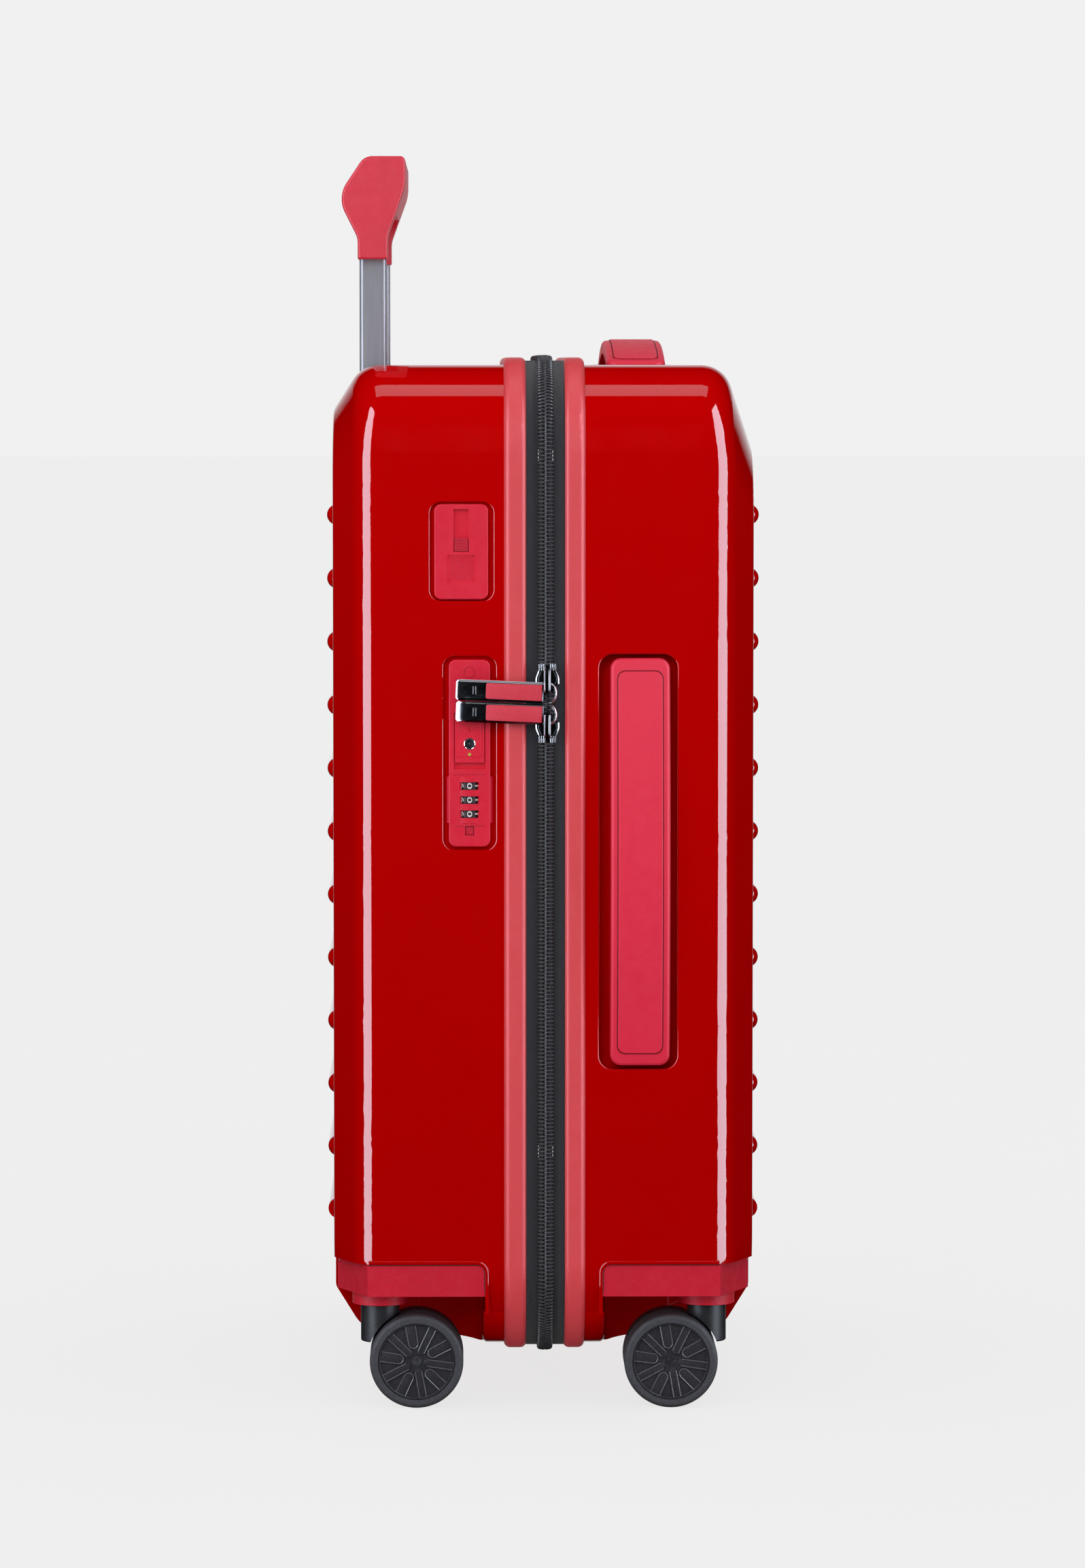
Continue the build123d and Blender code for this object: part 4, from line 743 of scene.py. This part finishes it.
# ---- wheels: spoked hubs ----
def hub_face(shape, place):
    """The outer face of one hub, drawn from its front plane at z = 0."""
    turn = 2 * math.pi / 5
    first = math.radians(-80)
    rim = [
        (24.75, -1.8), (24.75, -0.5), (24.55, -0.15), (24.1, 0.0), (23.6, -0.1), (23.2, -0.6), (23.2, -2.8)
    ]
    ring_angles = [2 * math.pi * i / 72 for i in range(72)]
    loops = [[(r * math.cos(a), r * math.sin(a), z) for a in ring_angles] for r, z in rim]
    shape.add(skin(loops, capped=False), place)
    floor = [(23.5, -2.6), (19.0, -2.5), (9.0, -2.3), (6.4, -2.6), (5.2, -4.2), (2.2, -4.6)]
    loops = [[(r * math.cos(a), r * math.sin(a), z) for a in ring_angles] for r, z in floor]
    shape.add(skin(loops), place)
    for k in range(5):
        spin = Matrix.Rotation(first + k * turn, 4, "Z")
        spoke = [(4.6, -1.5), (6.5, -2.3), (23.6, -2.5), (23.6, 2.5), (6.5, 2.3), (4.6, 1.5)]
        shape.add(prism(spoke, -2.9, -0.6, 0.35), place @ spin)
        # Raised edge lines along each spoke: real ridges, drawn in a lighter grey that is a painted
        # highlight.
        for side in (-1, 1):
            edge = [(6.6, side * 2.1, -0.5), (23.3, side * 2.3, -0.4)]
            shape.add(tube(edge, 0.42, 8), place @ spin, 1)
        shape.add(prism(disc(0.9, 10, (3.4, 0)), -4.4, -2.9, 0.3), place @ spin)
        spin = Matrix.Rotation(first + (k + 0.5) * turn, 4, "Z")
        tongue = [(23.6, -3.3), (23.6, 3.3), (11.6, 3.1)]
        tongue += [(11.6 + 3.1 * math.cos(a), 3.1 * math.sin(a)) for a in np.radians(np.arange(105, 260, 15))]
        tongue += [(11.6, -3.1)]
        shape.add(prism(tongue, -2.9, -0.9, 0.4), place @ spin)
        # The tongue's raised edge line is also drawn in the lighter grey of a painted highlight.
        edge = [(23.2, 3.2, -0.6), (11.6, 3.0, -0.65)]
        edge += [
            (11.6 + 3.0 * math.cos(a), 3.0 * math.sin(a), -0.65) for a in np.radians(np.arange(105, 260, 15))
        ]
        edge += [(11.6, -3.0, -0.65), (23.2, -3.2, -0.6)]
        shape.add(tube(edge, 0.42, 8), place @ spin, 1)


def wheels():
    for name in ("back_near", "back_far", "front_near", "front_far"):
        low, high = span("hubs_" + name)
        middle = (low + high) / 2
        shape = Shape()
        for side in (-1, 1):
            face = high.y if side > 0 else low.y
            across = (-side, 0, 0)
            place = facing((middle.x, face, middle.z), across, (0, 0, 1))
            hub_face(shape, place)
            ring = [2 * math.pi * i / 48 for i in range(48)]
            core = [
                (24.75, -1.8), (24.75, -15.6), (24.2, -16.0), (22.0, -16.0), (21.4, -14.6), (9.0, -14.2),
                (8.4, -15.6), (3.4, -15.6)
            ]
            loops = [[(r * math.cos(a), r * math.sin(a), z) for a in ring] for r, z in core]
            shape.add(skin(loops), place)
        piece = shape.make("spoked_hubs_" + name, ["hub", "spoke"], "wheels_" + name, 30, slot="hub_black")
        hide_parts("hubs_" + name)


wheels()


# ---- linings, divider and packing straps ----
def soft_copy(node, name, look, body, longest=14.0, sag=0.5):
    """A sewn fabric form in a CAD solid's place: its mesh refined and creased."""
    work = bmesh.new()
    work.from_mesh(nodes[node].data)
    bmesh.ops.remove_doubles(work, verts=work.verts, dist=1e-5)
    for _ in range(5):
        long_edges = [e for e in work.edges if e.calc_length() > longest * 0.001]
        if not long_edges:
            break
        bmesh.ops.subdivide_edges(work, edges=long_edges, cuts=1)
        bmesh.ops.triangulate(work, faces=[f for f in work.faces if len(f.verts) > 4])
    for vert in work.verts:
        crease = noise.noise_vector(vert.co * 28.0) * sag + noise.noise_vector(vert.co * 75.0) * sag * 0.35
        vert.co += crease * 0.001
    mesh = bpy.data.meshes.new(name)
    work.to_mesh(mesh)
    work.free()
    mesh.materials.clear()
    mesh.materials.append(looks[look])
    mesh.shade_smooth()
    mesh.set_sharp_from_angle(angle=math.radians(50))
    piece = bpy.data.objects.new(name, mesh)
    bpy.context.scene.collection.objects.link(piece)
    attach(piece, body)
    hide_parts(node)
    return piece


for side, body in (("back", "root"), ("front", "lid")):
    lining = soft_copy(side + "_lining", "lining_" + side, "lining", body)


def divider():
    """A padded divider: bound edge, and a netted pocket above a zip."""
    low, high = span("divider_panel")
    width, height, x = high.y - low.y, high.z - low.z, (low.x + high.x) / 2
    place = facing((x, 0, MIDDLE_Z), (0, -1, 0), (0, 0, 1))
    shape = Shape()
    outline_r = 49.0
    loops = []
    for i in range(12):
        share = (i + 1) / 12
        edge = round_rect(width * share, height * share, outline_r * share, 12)
        loops.append([(a, b, 0.75 + 0.5 * noise.noise(Vector((a / 40, b / 40, 3.0)))) for a, b in edge])
    back = [[(a, b, -0.6) for a, b, _ in loop] for loop in reversed(loops)]
    shape.add(skin(loops + back), place)
    panel = shape.make("divider_cloth", "divider", "lid", slot="divider")
    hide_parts("divider_panel")
    trim = Shape()
    edge = [(a, b, 0) for a, b in round_rect(width - 2.4, height - 2.4, outline_r - 1.2, 14)]
    trim.add(tube(edge, 1.2, 8, True), place)
    for b, reach in ((150.0, 190.0), (-175.0, 190.0)):
        trim.add(prism(round_rect(2 * reach, 13, 2, 3, (0, b)), 0.2, 1.2, 0.3), place)
        for k in range(int(2 * reach / 3)):
            tooth = round_rect(1.6, 3.6, 0.5, 2, (-reach + 1.5 + 3 * k, b + (0.5 if k % 2 else -0.5)))
            trim.add(prism(tooth, 1.0, 2.0, 0.4), place, 1)
        trim.add(prism(round_rect(9, 7, 2, 3, (reach - 16, b)), 1.8, 3.0, 0.5), place, 2)
        trim.add(prism(round_rect(24, 6, 2, 3, (reach - 33, b)), 2.2, 3.2, 0.5), place, 2)
    for a in range(-12, 13):
        for b in range(-10, 9):
            hole = disc(0.9, 6, (a * 15.0, -12 + b * 14.5))
            trim.add(prism(hole, 1.1, 1.4, 0.1), place, 3)
    trim.make("divider_trim", ["piping", "coil", "gunmetal", "thread"], "lid", slot="webbing")


divider()


def straps():
    """Two crossed packing straps with sewn ends, joined by a moulded buckle."""
    low, high = span("packing_straps")
    front = high.x
    shape = Shape()
    for slant in (-1, 1):
        start = Vector((0, -170.0, MIDDLE_Z - slant * 165.0))
        end = Vector((0, 170.0, MIDDLE_Z + slant * 165.0))
        along = (end - start).normalized()
        across = Vector((0, -along.z, along.y))
        loops, uvs = [], []
        for i in range(61):
            t = i / 60
            lift = 0.5 * math.sin(math.pi * t) + 0.25 * noise.noise(Vector((slant, t * 9, 0)))
            out = front - 1.2 + lift + (0.3 if slant > 0 else 0)
            middle = start + (end - start) * t + Vector((out, 0, 0))
            section = ((-14.6, 0), (14.6, 0), (14.6, 0.9), (-14.6, 0.9))
            loops.append([middle + across * a + Vector((b, 0, 0)) for a, b in section])
            uvs += [(a, t * 474) for a in (0, 29.2, 30.1, 59.3)]
        shape.add(skin(loops), uvs=uvs)
        for t in (0.03, 0.97):
            spot = start + (end - start) * t
            for side in (-1, 1):
                for k in range(9):
                    a, b = side * 11.5, -8 + 2 * k
                    p = spot + across * a + along * b + Vector((front + 0.1, 0, 0))
                    shape.add(tube([p, p + along * 1.2], 0.3, 5), slot=1)
    piece = shape.make("strap_webbing", ["webbing", "thread"], "root", slot="webbing")
    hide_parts("packing_straps")
    low, high = span("strap_buckle")
    middle = (low + high) / 2
    place = facing((low.x, middle.y, middle.z), (0, -1, 0), (0, 0, 1))
    shape = Shape()
    shape.add(prism(round_rect(43.6, 51.6, 8, 6), 0.2, 2.6, 0.8), place)
    shape.add(prism(round_rect(37, 44, 6, 6), 2.4, 4.2, 0.8), place)
    shape.add(prism(round_rect(20, 26, 4, 5), 4.0, 4.9, 0.5), place)
    for k in range(5):
        shape.add(tube([(-6, -8 + 4 * k, 4.75), (6, -8 + 4 * k, 4.75)], 0.45, 6), place)
    for sx in (-1, 1):
        for sy in (-1, 1):
            slit = round_rect(14, 2.2, 1.0, 4)
            turned = Matrix.Rotation(math.radians(-45 * sx * sy), 4, "Z")
            shape.add(
                prism(slit, 2.3, 3.9, 0.4), place @ Matrix.Translation((sx * 15.5, sy * 19.5, 0)) @ turned
            )
    piece = shape.make("buckle_detail", "black", "root", slot="buckle")
    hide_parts("strap_buckle")


straps()


def piping():
    """Corded seams where the linings meet the shells' mouths, and round the lid's inside."""
    for name, x, body in (("seam_back", BACK_MOUTH - 2.0, "root"), ("seam_front", FRONT_MOUTH + 2.0, "lid")):
        section = [(x + 1.1 * math.cos(a), -3.4 + 1.1 * math.sin(a)) for a in np.arange(8) * math.pi / 4]
        count = 260
        stops = np.linspace(0, LOOP, count, endpoint=False)
        flat = [(px, s, h) for s in stops for px, h in section]
        points = wrap(flat)
        n = len(section)
        loops = [points[i * n:(i + 1) * n] for i in range(count)]
        shape = Shape().add(skin(loops + [loops[0]], capped=False))
        shape.make(name, "piping", body, slot="lining")


piping()


# ---- carry handles: a dark bead along the groove between each handle's raised pad and its border, as painted shade ----
HANDLE_X = 61.0
SIDE_HANDLE_Z = 351.5
BORDER_RISE = 16.1
BOW_RADIUS = 608.7
PAD_OUTLINE = (244.0, 28.8, 5.0)


def handle_grooves():
    for name, across_top in (("side_handle", False), ("top_handle", True)):
        path = round_rect(*PAD_OUTLINE, steps=6)
        fine = []
        for (u0, w0), (u1, w1) in zip(path, path[1:] + path[:1]):
            cuts = max(1, round(abs(u1 - u0) / 6))
            fine += [(u0 + (u1 - u0) * i / cuts, w0 + (w1 - w0) * i / cuts) for i in range(cuts)]
        placed = []
        for u, w in fine:
            rise = BORDER_RISE - BOW_RADIUS + math.sqrt(BOW_RADIUS * BOW_RADIUS - u * u)
            if across_top:
                placed.append((HANDLE_X + w, u, TOP_Z + rise))
            else:
                placed.append((HANDLE_X + w, -HALF_WIDTH - rise, SIDE_HANDLE_Z + u))
        # The dark red bead along each pad's outline is painted shade, standing in for the shade in the
        # groove.
        groove = Shape().add(tube(placed, 0.42, 8, True))
        groove.make(name + "_groove", "groove", name, slot="handle_red")


handle_grooves()


# ---- shell trim: lips round the wheel pockets, painted shadow strips under the lips, and feet beside the rims ----
POCKET_X = 37.5
POCKET_TOP = 93.7
MOUTHS = {"back": (-1, 25.4, "root"), "front": (1, 26.3, "lid")}


def shell_trim():
    for name, (way, rim_edge, body) in MOUTHS.items():
        lips, feet, gap_shades = Shape(), Shape(), Shape()
        for side in (-1, 1):
            wall = side * (HALF_WIDTH - 0.55)
            arc = [math.radians(a) for a in range(90, 181, 15)]
            edge = [(way * 112, POCKET_TOP + 1.2), (way * 80, POCKET_TOP + 1.2)]
            x, z = POCKET_X + 5.5, POCKET_TOP - 5.5
            edge += [(way * (x + 6.7 * math.cos(a)), z + 6.7 * math.sin(a)) for a in arc]
            edge += [(way * (POCKET_X - 1.2), 76.0), (way * (POCKET_X - 1.2), 62.0)]
            lips.add(tube([(x, wall, z) for x, z in edge], 1.35, 10))
            # A dark strip just under each lip is painted shadow, standing in for the shade in the gap between
            # the lip and the wheel block.
            gap = []
            for x, z in edge[:-1]:
                beside = x + way * 1.15 * (z < POCKET_TOP)
                gap.append((beside, wall - side * 0.2, z - 1.15 * (z > POCKET_TOP)))
            gap_shades.add(tube(gap, 0.7, 6))
            loops = []
            for i, degrees in enumerate([34, 38, 44, 52, 60, 68, 76, 84, 90]):
                angle = math.radians(degrees)
                middle_y, middle_z = HALF_WIDTH - CORNER, FOOT_Z + CORNER
                reaches = (CORNER - 1.0, CORNER + (1.4 if i else 0.1), CORNER + 0.3)
                ring = [
                    (side * (middle_y + r * math.cos(angle)), middle_z - r * math.sin(angle)) for r in reaches
                ]
                a, b = way * (rim_edge + 0.1), way * (POCKET_X + 1.0)
                inner, outer, shoulder = ring
                loops.append([(a, *inner), (a, *outer), (b - way * 1.6, *outer), (b, *shoulder), (b, *inner)])
            feet.add(skin(loops))
        lips.make("pocket_lips_" + name, "shell", body, 60, slot="shell")
        gap_shades.make("pocket_gap_shades_" + name, "gap", body, slot="shell")
        feet.make("shell_feet_" + name, "shell", body, 50, slot="shell")


shell_trim()


# ---- finish of the carried-over CAD nodes ----
finishes = {
    "shell": ["back_shell", "front_shell"],
    "rim": ["back_rim", "front_rim"],
    "matte": ["wheel_blocks_back", "wheel_blocks_front"],
    "handle": ["side_handle", "top_handle"],
    "lock": ["lock_plate", "lock_release", "tag_plate"],
    "button": ["reset_button", "tag_slider", "trolley_button"],
    "grip": ["trolley_grip"],
    "tube": ["trolley_frame", "trolley_mid_tubes", "trolley_inner_tubes"],
    "black": ["handle_guides", "lock_case", "trolley_bezels"],
    "steel": [
        "caster_stems_back", "caster_stems_front", "block_screws_back", "block_screws_front", "key_cylinder"
    ],
}
corners = ("back_near", "back_far", "front_near", "front_far")
finishes["caster"] = ["fork_" + c for c in corners]
finishes["tyre"] = ["tyres_" + c for c in corners]
finishes["steel"] += ["axle_" + c for c in corners]
for look, members in finishes.items():
    for member in members:
        for slot in nodes[member].material_slots:
            slot.material = looks[look]


# ---- floor, light and camera ----
def studio():
    world = bpy.data.worlds.new("studio")
    bpy.context.scene.world = world
    world.use_nodes = True
    tree = world.node_tree
    tree.nodes.clear()
    rays = tree.nodes.new("ShaderNodeLightPath")
    seen = tree.nodes.new("ShaderNodeBackground")
    seen.inputs[0].default_value = (0.877, 0.877, 0.877, 1)
    fill = tree.nodes.new("ShaderNodeBackground")
    where = tree.nodes.new("ShaderNodeTexCoord")
    split = tree.nodes.new("ShaderNodeSeparateXYZ")
    ramp = tree.nodes.new("ShaderNodeValToRGB")
    spread = tree.nodes.new("ShaderNodeMapRange")
    spread.inputs["From Min"].default_value = -1
    ramp.color_ramp.elements[0].color = (0.36, 0.36, 0.36, 1)
    ramp.color_ramp.elements[1].color = (0.7, 0.7, 0.7, 1)
    mirrored = tree.nodes.new("ShaderNodeBackground")
    behind = tree.nodes.new("ShaderNodeMapRange")
    behind.inputs["From Min"].default_value = 0.86
    behind.inputs["From Max"].default_value = 0.99
    tree.links.new(split.outputs[1], behind.inputs["Value"])
    tree.links.new(behind.outputs[0], mirrored.inputs["Strength"])
    mirrored.inputs[0].default_value = (0.85, 0.85, 0.87, 1)
    lit = tree.nodes.new("ShaderNodeMixShader")
    tree.links.new(rays.outputs["Is Glossy Ray"], lit.inputs[0])
    tree.links.new(fill.outputs[0], lit.inputs[1])
    tree.links.new(mirrored.outputs[0], lit.inputs[2])
    mix = tree.nodes.new("ShaderNodeMixShader")
    out = tree.nodes.new("ShaderNodeOutputWorld")
    tree.links.new(where.outputs["Generated"], split.inputs[0])
    tree.links.new(split.outputs[2], spread.inputs["Value"])
    tree.links.new(spread.outputs[0], ramp.inputs[0])
    tree.links.new(ramp.outputs[0], fill.inputs[0])
    fill.inputs["Strength"].default_value = 1.1
    tree.links.new(rays.outputs["Is Camera Ray"], mix.inputs[0])
    tree.links.new(lit.outputs[0], mix.inputs[1])
    tree.links.new(seen.outputs[0], mix.inputs[2])
    tree.links.new(mix.outputs[0], out.inputs[0])

    floor_finish = Finish("studio_floor", Roughness=0.9, Specular_IOR_Level=0.0, Emission_Strength=1.0)
    floor_finish.shader.inputs["Emission Color"].default_value = (0.77, 0.77, 0.77, 1)
    floor_finish.colour(
        floor_finish.ramp(floor_finish.noise(3.0), (0.3, (0.125, 0.125, 0.125)), (0.7, (0.13, 0.13, 0.13)))
    )
    looks["floor"] = floor_finish.material
    angles = np.radians(np.arange(0, 360, 6))
    rings = [[(r * math.cos(a), r * math.sin(a), -0.2) for a in angles] for r in (40000, 4000, 400, 40)]
    floor = Shape().add(skin(rings)).make("floor", "floor")
    floor.visible_diffuse = False
    floor.visible_glossy = False


def softbox(name, place, aim, size, power, colour=(1, 1, 1), diffuse=True, glossy=True):
    light = bpy.data.lights.new(name, "AREA")
    light.shape = "RECTANGLE"
    light.size, light.size_y = size
    light.energy = power
    light.color = colour
    lamp = bpy.data.objects.new(name, light)
    bpy.context.scene.collection.objects.link(lamp)
    lamp.location = place
    direction = Vector(aim) - Vector(place)
    lamp.rotation_euler = direction.to_track_quat("-Z", "Y").to_euler()
    lamp.visible_camera = False
    lamp.visible_diffuse = diffuse
    lamp.visible_glossy = glossy


studio()
# Upright strips stand beside the near corners of the case; each shows as a line down the shell's bends.
for name, side, angle, width in (("strip_left", -1, 50.5, 0.42), ("strip_right", 1, 59.5, 0.5)):
    away = math.radians(angle)
    spot = Vector((side * (0.11 + 0.75 * math.sin(away)), -0.23 - 0.75 * math.cos(away), 0.82))
    softbox(
        name, spot, (side * 0.11, -0.23, 0.82), (width, 1.7), 17.0 * width / 0.36, (0.78, 0.87, 1.0),
        diffuse=False
    )
    # The far pair faces away from the near corners, so it only shows from behind.
    spot = Vector((side * 0.75, 0.69, 0.8))
    softbox(
        name + "_far", spot, spot + Vector((-side * 0.74, 0.67, 0)), (1.0, 1.7), 22.0, (0.8, 0.88, 1.0),
        diffuse=False
    )
softbox("overhead", (0, -0.21, 2.6), (0, -0.21, 0.6), (1.2, 0.72), 3.6, (0.9, 0.95, 1.0), diffuse=False)
softbox("top_fill", (0.0, -0.6, 3.2), (0, 0, 0.4), (2.6, 2.6), 4.0, glossy=False)
softbox("front_fill", (-0.5, -3.2, 1.7), (0, 0, 0.4), (1.6, 1.6), 38.0, glossy=False)

camera_data = bpy.data.cameras.new("camera")
camera_data.sensor_fit = "VERTICAL"
camera_data.sensor_height = 36
camera_data.lens = 144.9
camera = bpy.data.objects.new("camera", camera_data)
bpy.context.scene.collection.objects.link(camera)
camera.location = (-0.054, -4.23, 0.67)
camera.rotation_euler = (
    Vector((-0.001, -0.23, 0.4014)) - camera.location
).to_track_quat("-Z", "Y").to_euler()
bpy.context.scene.camera = camera
bpy.context.scene.view_settings.view_transform = "Standard"
